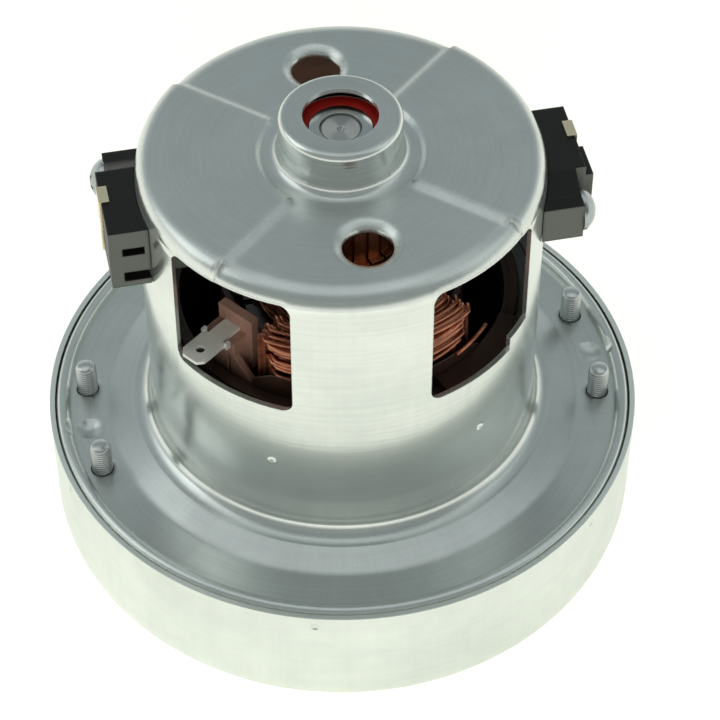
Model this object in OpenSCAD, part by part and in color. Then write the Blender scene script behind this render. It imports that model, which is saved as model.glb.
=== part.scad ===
// Through-flow vacuum cleaner motor, standing on its fan cover.
// Origin: centre of the cover's bottom face. Z is the shaft axis, X is the brush axis. Millimetres.

/* [Fan cover] */
// Outside diameter of the pressed fan cover
cover_d = 135; // [120:0.5:150]
// Height of the cover from its bottom to its open edge
cover_h = 33.7; // [28:0.1:45]
// Sheet thickness of the cover
cover_t = 1.2; // [0.8:0.1:2]
// Outside radius between cover wall and bottom
cover_round = 10; // [3:0.5:14]
// Diameter of the inlet eye
eye_d = 44; // [36:0.5:50]
// Height of the collar drawn up round the eye
eye_lip = 4.4; // [3:0.1:6]
// Number of stake marks that hold the cover on
stake_count = 6; // [4:1:10]
// Diameter of a stake mark
stake_d = 2.8; // [1.5:0.1:4]
// Distance of the stake marks below the open edge
stake_drop = 2.9; // [2:0.1:5]

/* [Motor frame] */
// Outside diameter of the motor can
can_d = 87.5; // [80:0.5:95]
// Sheet thickness of the frame
sheet = 1.2; // [0.8:0.1:2]
// Height of the low sectors of the top face
top_z = 107.2; // [100:0.1:115]
// Rounding of the shoulder on the low sectors
rim_round = 5; // [3:0.1:7]
// Rounding of the shoulder on the raised sectors
raise_rim = 3.6; // [2:0.1:5]
// Height of the raised sectors above the low ones
raise = 0.8; // [0.3:0.1:1.5]
// Half angle of a raised sector
raise_half = 42; // [30:0.5:55]
// Radius where the raised sectors begin
raise_in = 17; // [15:0.1:22]
// Set-back of the raised shoulder from the can wall
raise_back = 0.25; // [0.1:0.05:0.6]
// Width of the sloped crease beside a raised sector
crease_w = 1.8; // [0.8:0.1:3]
// Height of the flange floor
flange_z = 32; // [28:0.1:36]
// Rise of the flange from its floor to the foot of the can
foot_rise = 2; // [0.5:0.1:3]
// Radius where the flange begins to rise
foot_r = 54.1; // [51:0.1:55]
// Rounding between can and flange
foot_round = 4.2; // [2:0.1:6]
// Height of the bead round the flange edge
bead_h = 2.2; // [1:0.1:3]
// Inside rounding of the bead
bead_in = 0.4; // [0.2:0.1:0.8]
// Length of the skirt that plugs into the cover
skirt_h = 7; // [5:0.5:10]
// Height of the top of the bearing boss
boss_z = 117.9; // [112:0.1:125]
// Rounding of the boss edge
boss_round = 1.5; // [1.2:0.1:2.5]
// Rounding at the boss root
root_round = 2.3; // [1:0.1:4]
// Diameter of the hole in the boss top
boss_hole_d = 16.1; // [12:0.1:18]
// Distance of the vent holes from the axis
vent_r = 27.8; // [24:0.1:32]
// Diameter of a vent hole
vent_d = 10.8; // [8:0.1:13]
// Diameter of the dish round a vent hole
vent_dish_d = 14.4; // [12:0.1:17]
// Depth of the dish
vent_dish = 1; // [0.5:0.1:2]

/* [Windows] */
// Lower edge of the cooling windows
window_z0 = 72.6; // [68:0.1:78]
// Upper edge of the cooling windows
window_z1 = 104.1; // [98:0.1:106]
// Width of a window measured straight across
window_w = 29.4; // [20:0.1:34]
// Corner rounding of a window
window_round = 2.5; // [1:0.1:5]
// Angle of the window centres from the window axis
window_spread = 50.8; // [42:0.1:56]
// Turn of the window axis from the brush axis
window_turn = -5.5; // [-10:0.1:10]
// Width of the lock tab left in a window corner
window_tab_w = 7; // [3:0.1:10]
// Height of the lock tab
window_tab_h = 3.4; // [2:0.1:6]

/* [Bearings] */
// Bore of both ball bearings
bearing_bore = 9; // [6:0.5:10]
// Outside diameter of both ball bearings
bearing_od = 24; // [19:0.5:26]
// Width of both ball bearings
bearing_w = 7; // [5:0.5:9]
// Wall of an inner ring
inner_wall = 2.2; // [1.6:0.1:2.6]
// Wall of an outer ring
outer_wall = 2.3; // [1.4:0.1:2.6]
// Ball diameter
ball_d = 3.4; // [2.5:0.1:4]
// Balls in each bearing
ball_count = 7; // [6:1:9]
// Thickness of a bearing seal
seal_t = 0.6; // [0.4:0.1:1]
// Gap between the top bearing and the boss over it
boss_gap = 2.4; // [1:0.1:3]
// Thickness of the preload washer over the top bearing
washer_t = 0.4; // [0.3:0.1:0.8]

/* [Fan and bridge] */
// Distance of the bridge screws inside the flange lip
screw_inset = 7.1; // [6.8:0.1:8.5]
// Angle of each screw from the brush axis
screw_half = 12; // [8:0.5:18]
// Diameter of the dimple between two screws
dimple_d = 6; // [4:0.1:7]
// Bridge screw diameter
screw_d = 4.8; // [3.5:0.1:5.5]
// Bridge screw head diameter
screw_head_d = 8.6; // [7:0.1:9.5]
// Bridge screw head height
screw_head_h = 2.4; // [1.5:0.1:3]
// Chamfer on the tip of a bridge screw
screw_point = 0.6; // [0.3:0.1:1]
// Height that the screw tips stand above the flange
screw_tip = 8; // [4:0.1:10]
// Thickness of the bearing bridge
bridge_t = 3; // [2:0.1:4]
// Width of the bridge arms at the hub
bridge_w = 34; // [26:0.5:40]
// Distance of the bridge openings from the axis
bridge_hole_r = 30; // [26:0.5:36]
// Length of a bridge opening
bridge_hole_l = 16; // [12:0.5:20]
// Width of a bridge opening
bridge_hole_w = 14; // [10:0.5:18]
// Corner rounding of a bridge opening
bridge_hole_round = 3; // [1:0.5:5]
// Underside of the return guide plate
guide_z = 15.3; // [14:0.1:17]
// Thickness of the return guide plate
guide_t = 1.5; // [1:0.1:2.5]
// Air gap round the return guide plate
guide_gap = 3.7; // [2.5:0.1:5]
// Return guide vanes
guide_count = 12; // [8:1:16]
// Angle that a return vane sweeps back
guide_sweep = 34; // [20:1:50]
// Bow radius of a return vane
guide_bow = 36; // [28:0.5:60]
// Distance of the fan wheel edge inside the guide plate
fan_inset = 9.6; // [8.5:0.1:14]
// Step of the fan wheel eye inside the inlet eye
fan_eye_gap = 2.2; // [1.8:0.1:3]
// Set-back of the fan vanes from the edges of the discs
vane_inset = 0.5; // [0.3:0.1:1]
// Sheet thickness of the fan wheel
fan_t = 0.8; // [0.5:0.1:1.2]
// Gap between the two fan discs
fan_gap = 7.8; // [6:0.1:9]
// Fan vanes
fan_count = 9; // [6:1:11]
// Angle that a fan vane sweeps back
fan_sweep = 58; // [40:1:75]
// Bow radius of a fan vane
fan_bow = 36; // [30:0.5:60]
// Width across flats of the fan nut
nut_af = 10; // [8:0.5:13]
// Height of the fan nut
nut_h = 5; // [3:0.5:7]
// Diameter of the shaft thread under the nut
thread_d = 6; // [5:0.5:8]

/* [Rotor and field] */
// Depth of the shaft end below the face of the top bearing
shaft_in = 0.3; // [0:0.1:1]
// Chamfer of the shaft end
shaft_chamfer = 0.5; // [0.2:0.1:0.8]
// Shaft diameter inside the armature
shaft_d = 10; // [9.5:0.5:12]
// Lower face of the field and armature stacks
stack_z = 38.5; // [36:0.1:42]
// Length of both stacks
stack_h = 27.5; // [20:0.5:32]
// Armature diameter
armature_d = 44; // [36:0.5:48]
// Air gap between armature and field
air_gap = 0.5; // [0.3:0.05:0.8]
// Armature slots
slot_count = 12; // [8:1:14]
// Diameter of an armature slot
slot_d = 5; // [4:0.1:5.5]
// Field yoke inside radius
yoke_r = 36; // [33:0.1:38]
// Distance across the flats of the field stack
field_flat = 79; // [74:0.5:83]
// Half width of a field pole
pole_half = 13; // [10:0.1:15]
// Thickness of a pole tip
tip_t = 3.4; // [2:0.1:5]
// Half angle of a pole shoe
shoe_half = 54; // [45:1:60]
// Distance of the armature end winding from the shaft
end_in = 3.6; // [2.5:0.1:5]
// Distance of the armature end winding inside the armature edge
end_edge = 2.4; // [1.5:0.1:4]
// Distance of the armature end winding below the commutator
end_drop = 3.4; // [2:0.1:5]
// Distance of the armature end winding above its stack and wire
end_rise = 1.5; // [1:0.1:3]
// Commutator diameter
comm_d = 25; // [20:0.5:28]
// Commutator bars
comm_count = 24; // [12:2:28]
// Lower edge of the commutator
comm_z = 84.5; // [80:0.1:88]
// Upper edge of the commutator
comm_top = 102.5; // [98:0.1:105]

/* [Windings] */
// Inside radius of the field coils
coil_in = 28.2; // [27:0.1:30]
// Outside radius of the plain coil body
coil_out = 34.9; // [33:0.1:36]
// Half angle of the field coils
coil_half = 42.5; // [40:0.5:48]
// Top of the upper field end turns
coil_top = 86.2; // [80:0.1:90]
// Bottom of the lower field end turns
coil_low = 34.6; // [34:0.1:37]
// Squareness of a coil loop, lower is squarer
coil_square = 0.55; // [0.4:0.05:0.8]
// Loops drawn on a field coil
coil_loops = 7; // [4:1:8]
// Radius of the drawn coil wire
coil_wire = 0.31; // [0.25:0.01:0.4]
// Loops drawn on the armature end winding
end_loops = 12; // [8:1:16]
// Radius of the drawn armature wire
end_wire = 0.5; // [0.3:0.05:0.7]
// How far the first drawn loop lies inside the plain coil body
coil_under = 0.2; // [0.1:0.05:0.3]
// How far the last drawn loop lies outside the plain coil body
coil_over = 0.4; // [0.2:0.05:0.6]
// Gap between a drawn wire and the body under it
wire_gap = 0.25; // [0.1:0.05:0.3]

/* [Brush gear] */
// Height of the brush axis
brush_z = 94.4; // [90:0.1:98]
// Brush width round the commutator
brush_w = 6.5; // [5:0.1:8]
// Brush height along the shaft
brush_h = 10.6; // [8:0.1:12]
// Brush length
brush_l = 24; // [18:0.5:30]
// Wall of the brass brush tube
tube_t = 0.6; // [0.4:0.1:1]
// Inner end of the brass brush tube
tube_in = 17; // [15:0.5:20]
// Distance of the holder outer face from the axis
holder_x = 51.2; // [49:0.1:54]
// Holder end away from its screw
holder_end = 9.7; // [9:0.1:13]
// Height of the holder top
holder_top = 102.2; // [100:0.1:104]
// Height of the holder bottom
holder_low = 86.5; // [85:0.1:88]
// End of the screw lug
lug_end = 18.4; // [16:0.1:20]
// Outer face of the screw lug
lug_x = 48.8; // [47:0.1:51]
// Top of the screw lug
lug_top = 99.3; // [98:0.1:101]
// Bottom of the screw lug
lug_low = 90.3; // [88:0.1:92]
// Place of the holder screw along the lug
lug_screw_y = 14.6; // [14.5:0.1:15]
// Holder screw head diameter
lug_head_d = 8.8; // [7:0.1:9]
// Holder screw head height
lug_head_h = 2.6; // [2:0.1:4]
// Holder screw collar diameter
lug_collar_d = 9.2; // [9:0.1:9.4]
// Holder screw collar thickness
lug_collar_t = 0.8; // [0.5:0.1:1.2]
// Holder screw shank diameter
lug_screw_d = 3.4; // [3:0.1:4]
// Depth of the holder screw inside the can
lug_screw_in = 7.5; // [4:0.1:9]
// How far the cap on the right holder stands out
cap_out = 1.8; // [1:0.1:3]
// Half width of the cap
cap_half = 4.4; // [3:0.1:4.6]
// Height of the cap
cap_h = 9; // [6:0.1:12]
// Thickness of the brass clip
clip_t = 0.5; // [0.3:0.1:0.8]
// Width of the brass clip
clip_w = 4.8; // [3:0.1:5]
// Place of the brass clip along the holder
clip_y = 2.2; // [2:0.1:4]
// How far the brass clip reaches over the holder top
clip_over = 1.7; // [1:0.1:3]
// Width of the stem of the brass clip
clip_stem = 2.2; // [1.5:0.1:3]
// Coils of a brush spring
spring_coils = 6; // [4:1:9]
// Wire radius of a brush spring
spring_wire = 0.3; // [0.2:0.05:0.4]
// Coil radius of a brush spring
spring_r = 2.6; // [2:0.1:3]

/* [Terminals] */
// Angle of the tab terminals from the brush axis
tab_turn = 37.5; // [34:0.5:40]
// Distance of the tab centre line from the motor axis
tab_off = 5.2; // [4:0.1:6]
// Height of the tab terminals
tab_z = 74.6; // [73:0.1:78]
// Width of a tab
tab_w = 6.3; // [4.8:0.1:6.5]
// Thickness of a tab
tab_t = 0.8; // [0.5:0.1:1]
// Outer end of a tab from the axis
tab_out = 43.2; // [40:0.1:43.4]
// Inner end of a tab from the axis
tab_in = 29.6; // [29:0.1:31]
// Length of the narrow root of a tab
tab_root = 5.4; // [4:0.1:6]
// Width across the folded ears of a tab
tab_ears = 7.5; // [7:0.1:8.2]
// Diameter of the hole in a tab
tab_hole = 2; // [1.4:0.1:2.4]
// Margin of the terminal block beside its tab
block_side = 0.9; // [0.5:0.1:1.2]
// Outer face of the terminal block along its tab
block_out = 33.8; // [32.5:0.1:34.5]
// Foot of the terminal block in the field slot
block_z = 60; // [56:0.5:66]
// Height of the terminal block wall over the tab
block_wall = 3.9; // [2:0.1:5]
// Reach of the terminal block gusset
block_web = 4.8; // [2:0.1:5]
// Thickness of the field end insulators
insul_t = 1.6; // [1:0.1:3]
// Height of the insulator shelf over the stack
insul_wall = 4; // [2.5:0.1:6]
// Height of the insulator collar over the stack
insul_collar = 7; // [4:0.1:12]
// Angle where the insulator shelf begins, from the brush axis
shelf_from = 68; // [62:0.5:70]
// Angle that the insulator shelf spans
shelf_span = 38; // [20:0.5:42]

/* [Fits] */
// Gap between assembled pieces of the frame
fit = 0.2; // [0.05:0.05:0.3]
// Radial gap of a ring on its seat
seat = 0.02; // [0.01:0.01:0.1]
// Gap between moving pieces
run = 0.3; // [0.25:0.05:0.6]
// Gap between brush and commutator
brush_gap = 0.1; // [0.05:0.01:0.3]
// Radial clearance of the screw holes
screw_gap = 0.2; // [0.1:0.05:0.4]

/* [Hidden] */
$fn = 64;
tiny = 0.01;
cover_r = cover_d / 2;
cover_in = cover_r - cover_t;
can_r = can_d / 2;
can_in = can_r - sheet;
lip_r = cover_in - fit;
lip_round = sheet + bead_in;
bead_mid = flange_z + bead_h - lip_round;
foot_z = flange_z + foot_rise;
screw_r = lip_r - screw_inset;
dimple_t = 0.6 * sheet;
dimple_ball = (dimple_d * dimple_d / 4 + dimple_t * dimple_t) / (2 * dimple_t);
guide_r = cover_in - guide_gap;
inner_ring_d = bearing_bore + 2 * inner_wall;
outer_ring_d = bearing_od - 2 * outer_wall;
skirt_z = flange_z - skirt_h;
under_z = flange_z - sheet;
bearing_r = bearing_od / 2;
boss_r = bearing_r + seat + sheet;
upper_z = boss_z - sheet - boss_gap - bearing_w;
bridge_z = under_z - bridge_t;
lower_z = bridge_z - bearing_w + 1;
cup_z = lower_z - 1.5;
cup_r = bearing_r + seat + 2;
pitch_r = (inner_ring_d + outer_ring_d) / 4;
groove_r = ball_d / 2 + run;
cage_ratio = (1 - ball_d / (2 * pitch_r)) / 2;
guide_top = guide_z + guide_t;
fan_back_z = guide_z - 1.1 - fan_t;
fan_front_z = fan_back_z - fan_gap - fan_t;
fan_r = guide_r - fan_inset;
fan_eye_r = eye_d / 2 - fan_eye_gap;
nut_z = fan_back_z - 0.8 - nut_h;
shaft_r = shaft_d / 2;
journal_r = bearing_bore / 2 - seat;
shaft_end = upper_z + bearing_w - shaft_in;
stack_top = stack_z + stack_h;
armature_r = armature_d / 2;
bore_r = armature_r + air_gap;
field_r = can_in - fit;
slot_r = armature_r - slot_d / 2 - 1.6;
comm_r = comm_d / 2;
tube_w = brush_w + 2 * run + 2 * tube_t;
tube_h = brush_h + 2 * run + 2 * tube_t;
tube_out = holder_x - 0.8;
brush_in = comm_r + brush_gap;
brush_out = brush_in + brush_l;
neck_w = tube_w + 6;
neck_h = tube_h + 2.4;
ramp_low = holder_end + 5.4;
lug_ball = (lug_head_h * lug_head_h + lug_head_d * lug_head_d / 4) / (2 * lug_head_h) + 0.2;
window_mid = (window_z0 + window_z1) / 2;
window_angles = [
    for (side = [0, 180]) for (s = [1, -1]) side + window_turn + s * window_spread
];
screw_angles = [
    for (side = [0, 180]) for (s = [1, -1]) side + s * screw_half
];
block_half = tab_w / 2 + block_side;
spring_len = tube_out - 0.3 - brush_out;
end_mid_r = (shaft_r + end_in + armature_r - end_edge) / 2;
end_half_r = (armature_r - end_edge - shaft_r - end_in) / 2;
end_z0 = stack_top + 2 * end_wire + 2 * wire_gap + end_rise;
end_z1 = comm_z - end_drop;

// Shared shapes

module ring(ro, ri, z0, z1) {
    translate([0, 0, z0])
        linear_extrude(z1 - z0)
            difference() {
                circle(ro);
                circle(ri);
            }
}

module block(x0, x1, y0, y1, z0, z1) {
    translate([x0, y0, z0])
        cube([x1 - x0, y1 - y0, z1 - z0]);
}

module rounded_rect(w, h, r) {
    square([w - 2 * r, h], center = true);
    square([w, h - 2 * r], center = true);
    for (x = [-1, 1])
        for (y = [-1, 1])
            translate([x * (w / 2 - r), y * (h / 2 - r)])
                circle(r);
}

// Draws its child, which lies in the plane of Y and Z, out along X.
module along_x(x0, x1) {
    translate([x0, 0, 0])
        rotate([90, 0, 90])
            linear_extrude(x1 - x0)
                children();
}

module left_side() {
    rotate([0, 0, 180])
        children();
}

module wedge(half, reach) {
    polygon([[0, 0], [reach * cos(half), reach * sin(half)], [1.5 * reach, 0],
        [reach * cos(half), -reach * sin(half)]]);
}

// Unbroken six-sided tube through a list of points, with flat ends.
module tube_along(p, r) {
    n = len(p);
    dirs = [
        for (i = [0:n - 1]) let (d = p[min(i + 1, n - 1)] - p[max(i - 1, 0)]) d / norm(d)
    ];
    outs = [
        for (i = [0:n - 1])
            let (v = [p[i][0], p[i][1], 0] + [0, 0, 0.37], w = v - (v * dirs[i]) * dirs[i]) w / norm(w)
    ];
    rings = [
        for (i = [0:n - 1]) for (k = [0:5])
            let (b = cross(dirs[i], outs[i]))
            p[i] + r * (cos(60 * k) * outs[i] + sin(60 * k) * b)
    ];
    sides = [
        for (i = [0:n - 2]) for (k = [0:5]) for (t = [0, 1])
            let (a = 6 * i + k, b = 6 * i + (k + 1) % 6)
            t == 0 ? [a, b + 6, b] : [a, a + 6, b + 6]
    ];
    first = [for (k = [0:5]) k];
    last = [for (k = [5:-1:0]) 6 * (n - 1) + k];
    polyhedron(rings, concat([last, first], sides), convexity = 8);
}

// Fan cover and inlet

module cup_outline(o) {
    translate([0, cover_round])
        square([cover_r - o, cover_h - cover_round + o]);
    translate([0, o])
        square([cover_r - cover_round, cover_round]);
    translate([cover_r - cover_round, cover_round])
        circle(cover_round - o);
}

module fan_cover() {
    color("lightgray")
        difference() {
            union() {
                rotate_extrude()
                    difference() {
                        cup_outline(0);
                        cup_outline(cover_t);
                        square([eye_d / 2, cover_h]);
                        translate([0, cover_h])
                            square(cover_r + 1);
                    }
                ring(eye_d / 2 + cover_t, eye_d / 2, 0, eye_lip);
            }
            for (i = [0:stake_count - 1])
                rotate([0, 0, -106.5 + i * 360 / stake_count])
                    translate([cover_r + stake_d / 2 - 0.5, 0, cover_h - stake_drop])
                        sphere(d = stake_d, $fn = 32);
        }
}

module eye_seal() {
    color("dimgray")
        ring(eye_d / 2 - 0.05, fan_eye_r + fan_t + run, 0.4, eye_lip);
}

// Motor frame

module shell_outline(o) {
    difference() {
        union() {
            square([can_r - rim_round, top_z - o]);
            square([can_r - o, top_z - rim_round]);
            translate([can_r - rim_round, top_z - rim_round])
                circle(rim_round - o);
            square([lip_r - lip_round, flange_z - o]);
            translate([lip_r - 2 * lip_round + o, 0])
                square([2 * lip_round - 2 * o, bead_mid]);
            translate([lip_r - lip_round, bead_mid])
                circle(lip_round - o);
            polygon([[0, skirt_z], [0, foot_z - o], [can_r + foot_round, foot_z - o], [foot_r, flange_z - o],
                [foot_r, skirt_z]]);
            difference() {
                translate([can_r - o, foot_z - o])
                    square(foot_round + o);
                translate([can_r + foot_round, foot_z + foot_round])
                    circle(foot_round + o);
            }
            square([boss_r - boss_round, boss_z - o]);
            square([boss_r - o, boss_z - boss_round]);
            translate([boss_r - boss_round, boss_z - boss_round])
                circle(boss_round - o);
            difference() {
                translate([boss_r - o, top_z - o])
                    square(root_round + o);
                translate([boss_r + root_round, top_z + root_round])
                    circle(root_round + o);
            }
        }
        translate([-1, -1])
            square([cover_d, skirt_z + 1]);
    }
}

module raised_outline() {
    raise_out = can_r - raise_back - raise_rim;
    difference() {
        union() {
            polygon([[raise_in, top_z - sheet / 4], [raise_in, top_z], [raise_in + 1, top_z + raise],
                [raise_out, top_z + raise], [raise_out, top_z - sheet / 4]]);
            intersection() {
                translate([raise_out - tiny, top_z - rim_round])
                    square([raise_rim + 1, rim_round + raise + 1]);
                union() {
                    translate([raise_out - tiny, top_z - rim_round])
                        square([raise_rim + tiny, rim_round + raise - raise_rim]);
                    translate([raise_out, top_z + raise - raise_rim])
                        circle(raise_rim);
                }
            }
        }
        shell_outline(sheet / 2);
    }
}

module crease(side) {
    high = raise - 0.12;
    translate([raise_in + 1, 0, top_z])
        rotate([90, 0, 90])
            linear_extrude(can_r - rim_round - raise_in + 0.5)
                polygon([
                    [-side * 0.6, -sheet / 2],
                    [-side * 0.6, high],
                    [0, high],
                    [side * crease_w * 1.25, -high / 4],
                    [side * crease_w * 1.25, -sheet / 2]
                ]);
}

module window_cut(tab) {
    translate([0, 0, window_mid])
        along_x(can_r - 8, can_r + 2)
            difference() {
                rounded_rect(window_w, window_z1 - window_z0, window_round);
                if (tab)
                    translate([window_w / 2 - window_tab_w, window_z0 - window_mid - 1])
                        square([window_tab_w + 1, window_tab_h + 1]);
            }
}

module motor_frame() {
    color("silver")
        difference() {
            union() {
                rotate_extrude()
                    difference() {
                        shell_outline(0);
                        shell_outline(sheet);
                    }
                for (side = [0, 180]) {
                    rotate([0, 0, side - raise_half])
                        rotate_extrude(angle = 2 * raise_half)
                            raised_outline();
                    rotate([0, 0, side + raise_half])
                        crease(1);
                    rotate([0, 0, side - raise_half])
                        crease(-1);
                }
                for (side = [-90, 90])
                    rotate([0, 0, side])
                        translate([vent_r, 0, top_z - sheet - vent_dish])
                            cylinder(d = vent_dish_d + 1.6, h = vent_dish + sheet / 2);
            }
            translate([0, 0, top_z])
                cylinder(d = boss_hole_d, h = boss_z - top_z + 1);
            for (side = [-90, 90])
                rotate([0, 0, side])
                    translate([vent_r, 0, top_z - vent_dish]) {
                        cylinder(d1 = vent_d, d2 = vent_dish_d, h = vent_dish + tiny);
                        translate([0, 0, -sheet - 1])
                            cylinder(d = vent_d, h = sheet + 2);
                    }
            for (i = [0:3])
                rotate([0, 0, window_angles[i]])
                    window_cut(i % 2 == 1);
            for (a = screw_angles)
                rotate([0, 0, a])
                    translate([screw_r, 0, under_z - 1])
                        cylinder(d = screw_d + 2 * screw_gap, h = sheet + 2);
            for (side = [0, 180])
                rotate([0, 0, side]) {
                    along_x(can_r - 8, can_r + 1)
                        translate([0, brush_z])
                            rounded_rect(neck_w + 2 * fit, neck_h + 2 * fit, 1);
                    along_x(can_r - 8, can_r + 1)
                        translate([-lug_screw_y, brush_z + 0.4])
                            circle(lug_screw_d / 2 + screw_gap / 2);
                    translate([screw_r, 0, flange_z + dimple_ball - dimple_t])
                        sphere(r = dimple_ball, $fn = 48);
                    rotate([0, 0, -58.4])
                        translate([can_r + 0.9, 0, 56])
                            sphere(r = 1.4, $fn = 32);
                    rotate([0, 0, 58.4])
                        translate([can_r + 0.9, 0, 56])
                            sphere(r = 1.4, $fn = 32);
                }
        }
}

// Guide, bridge and screws

// Vane on a true arc of radius bow, from r_in at angle 0 to r_out at the swept-back angle.
module arc_vane(r_in, r_out, sweep, bow, thick) {
    p1 = [r_in, 0];
    p2 = r_out * [cos(sweep), -sin(sweep)];
    chord = p2 - p1;
    side = [-chord[1], chord[0]] / norm(chord);
    mid = (p1 + p2) / 2 + side * sqrt(bow * bow - chord * chord / 4);
    turn = atan2(mid[1], mid[0]);
    intersection() {
        translate(mid)
            difference() {
                circle(bow + thick / 2);
                circle(bow - thick / 2);
            }
        difference() {
            circle(r_out);
            circle(r_in);
        }
        rotate(turn)
            translate([-2 * r_out, -2 * r_out])
                square([4 * r_out, 2 * r_out]);
    }
}

module return_guide() {
    color("dimgray")
        difference() {
            union() {
                ring(guide_r, cup_r - 4, guide_z, guide_top);
                for (a = screw_angles)
                    rotate([0, 0, a])
                        translate([screw_r, 0, guide_z])
                            cylinder(d = screw_d + 4, h = bridge_z - guide_z);
                for (i = [0:guide_count - 1])
                    rotate([0, 0, (i + 0.5) * 360 / guide_count])
                        translate([0, 0, guide_z])
                            linear_extrude(bridge_z - guide_z - fit)
                                arc_vane(cup_r + 8, screw_r - screw_d - 1.4, guide_sweep, guide_bow, guide_t);
            }
            for (a = screw_angles)
                rotate([0, 0, a])
                    translate([screw_r, 0, guide_z - 1])
                        cylinder(d = screw_d + 2 * screw_gap, h = bridge_z);
        }
}

module bearing_bridge() {
    color("gainsboro")
        difference() {
            union() {
                translate([0, 0, bridge_z])
                    linear_extrude(bridge_t)
                        intersection() {
                            circle(screw_r + 5);
                            square([2 * screw_r + 12, bridge_w], center = true);
                        }
                translate([0, 0, cup_z])
                    cylinder(r = cup_r, h = bridge_z - cup_z + tiny);
            }
            translate([0, 0, lower_z])
                cylinder(r = bearing_r + seat, h = bearing_w + bridge_t + 2);
            translate([0, 0, cup_z - 1])
                cylinder(r = bearing_r - 2.4, h = bearing_w);
            for (a = screw_angles)
                rotate([0, 0, a])
                    translate([screw_r, 0, bridge_z - 1])
                        cylinder(d = screw_d + 2 * screw_gap, h = bridge_t + 2);
            for (s = [-1, 1])
                translate([s * bridge_hole_r, 0, bridge_z - 1])
                    linear_extrude(bridge_t + 2)
                        rounded_rect(bridge_hole_l, bridge_hole_w, bridge_hole_round);
        }
}

module bridge_screws() {
    color("silver")
        for (a = screw_angles)
            rotate([0, 0, a])
                translate([screw_r, 0, 0]) {
                    translate([0, 0, guide_z - screw_head_h])
                        cylinder(d = screw_head_d, h = screw_head_h);
                    translate([0, 0, guide_z - tiny])
                        cylinder(d = screw_d, h = flange_z + screw_tip - screw_point - guide_z + tiny);
                    translate([0, 0, flange_z + screw_tip - screw_point])
                        cylinder(d1 = screw_d, d2 = screw_d - 2 * screw_point, h = screw_point);
                }
}

// Ball bearings

module outer_ring() {
    rotate_extrude()
        difference() {
            translate([outer_ring_d / 2, 0])
                square([(bearing_od - outer_ring_d) / 2, bearing_w]);
            translate([pitch_r, bearing_w / 2])
                circle(groove_r);
        }
}

module inner_ring() {
    rotate_extrude()
        difference() {
            translate([bearing_bore / 2, 0])
                square([(inner_ring_d - bearing_bore) / 2, bearing_w]);
            translate([pitch_r, bearing_w / 2])
                circle(groove_r);
        }
}

module ball_set() {
    for (i = [0:ball_count - 1])
        rotate([0, 0, i * 360 / ball_count])
            translate([pitch_r, 0, bearing_w / 2])
                sphere(d = ball_d, $fn = 40);
    ring(pitch_r + 0.5, pitch_r - 0.5, bearing_w / 2 - 0.6, bearing_w / 2 + 0.6);
}

module seal_pair() {
    for (z = [0.1, bearing_w - seal_t - 0.1])
        ring(outer_ring_d / 2, inner_ring_d / 2 + run / 2, z, z + seal_t);
}

module lower_bearing_outer() {
    color("lightgray")
        translate([0, 0, lower_z])
            outer_ring();
}

module lower_bearing_inner() {
    color("lightgray")
        translate([0, 0, lower_z])
            inner_ring();
}

module lower_bearing_balls() {
    color("gray")
        translate([0, 0, lower_z])
            ball_set();
}

module lower_bearing_seal() {
    color("firebrick")
        translate([0, 0, lower_z])
            seal_pair();
}

module upper_bearing_outer() {
    color("lightgray")
        translate([0, 0, upper_z])
            outer_ring();
}

module upper_bearing_inner() {
    color("lightgray")
        translate([0, 0, upper_z])
            inner_ring();
}

module upper_bearing_balls() {
    color("gray")
        translate([0, 0, upper_z])
            ball_set();
}

module upper_bearing_seal() {
    color("red")
        translate([0, 0, upper_z])
            seal_pair();
}

module preload_washer() {
    color("gray")
        rotate_extrude()
            polygon([[bearing_r - 0.4, upper_z + bearing_w], [bearing_r - 0.4, upper_z + bearing_w + washer_t],
                [boss_hole_d / 2 + 1.2, boss_z - sheet], [boss_hole_d / 2 + 1.2, boss_z - sheet - washer_t]]);
}

// Rotor

module shaft() {
    color("silver")
        difference() {
            union() {
                translate([0, 0, nut_z - 1])
                    cylinder(d = thread_d, h = fan_back_z - nut_z + 2);
                translate([0, 0, fan_back_z + fan_t])
                    cylinder(r = journal_r, h = shaft_end - shaft_chamfer - fan_back_z - fan_t);
                translate([0, 0, shaft_end - shaft_chamfer - tiny])
                    cylinder(r1 = journal_r, r2 = journal_r - shaft_chamfer, h = shaft_chamfer + tiny);
                translate([0, 0, lower_z + bearing_w])
                    cylinder(r = shaft_r, h = upper_z - lower_z - bearing_w);
            }
            translate([0, 0, shaft_end - 0.7])
                cylinder(d1 = 0.3, d2 = 1.7, h = 0.7 + tiny);
        }
}

module armature_core() {
    color("dimgray")
        translate([0, 0, stack_z])
            linear_extrude(stack_h)
                difference() {
                    circle(armature_r);
                    circle(shaft_r);
                    for (i = [0:slot_count - 1])
                        rotate(i * 360 / slot_count) {
                            translate([slot_r, 0])
                                circle(d = slot_d);
                            translate([slot_r, -0.8])
                                square([slot_d, 1.6]);
                        }
                }
}

// The end winding is a ring of stadium section with one wire led round and round it.
end_path_r = end_half_r + end_wire + wire_gap;
end_flat = (end_z1 - end_z0) / 2 - end_half_r;

end_points = [
    for (i = [0:24 * end_loops])
        let (t = i / 24, a = 360 * t, phi = 352 * t / end_loops, rr = end_mid_r + end_path_r * cos(a),
            zz = (end_z0 + end_z1) / 2 + end_flat * sign(round(sin(a) * 100)) + end_path_r * sin(a))
        [rr * cos(phi), rr * sin(phi), zz]
];

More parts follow.
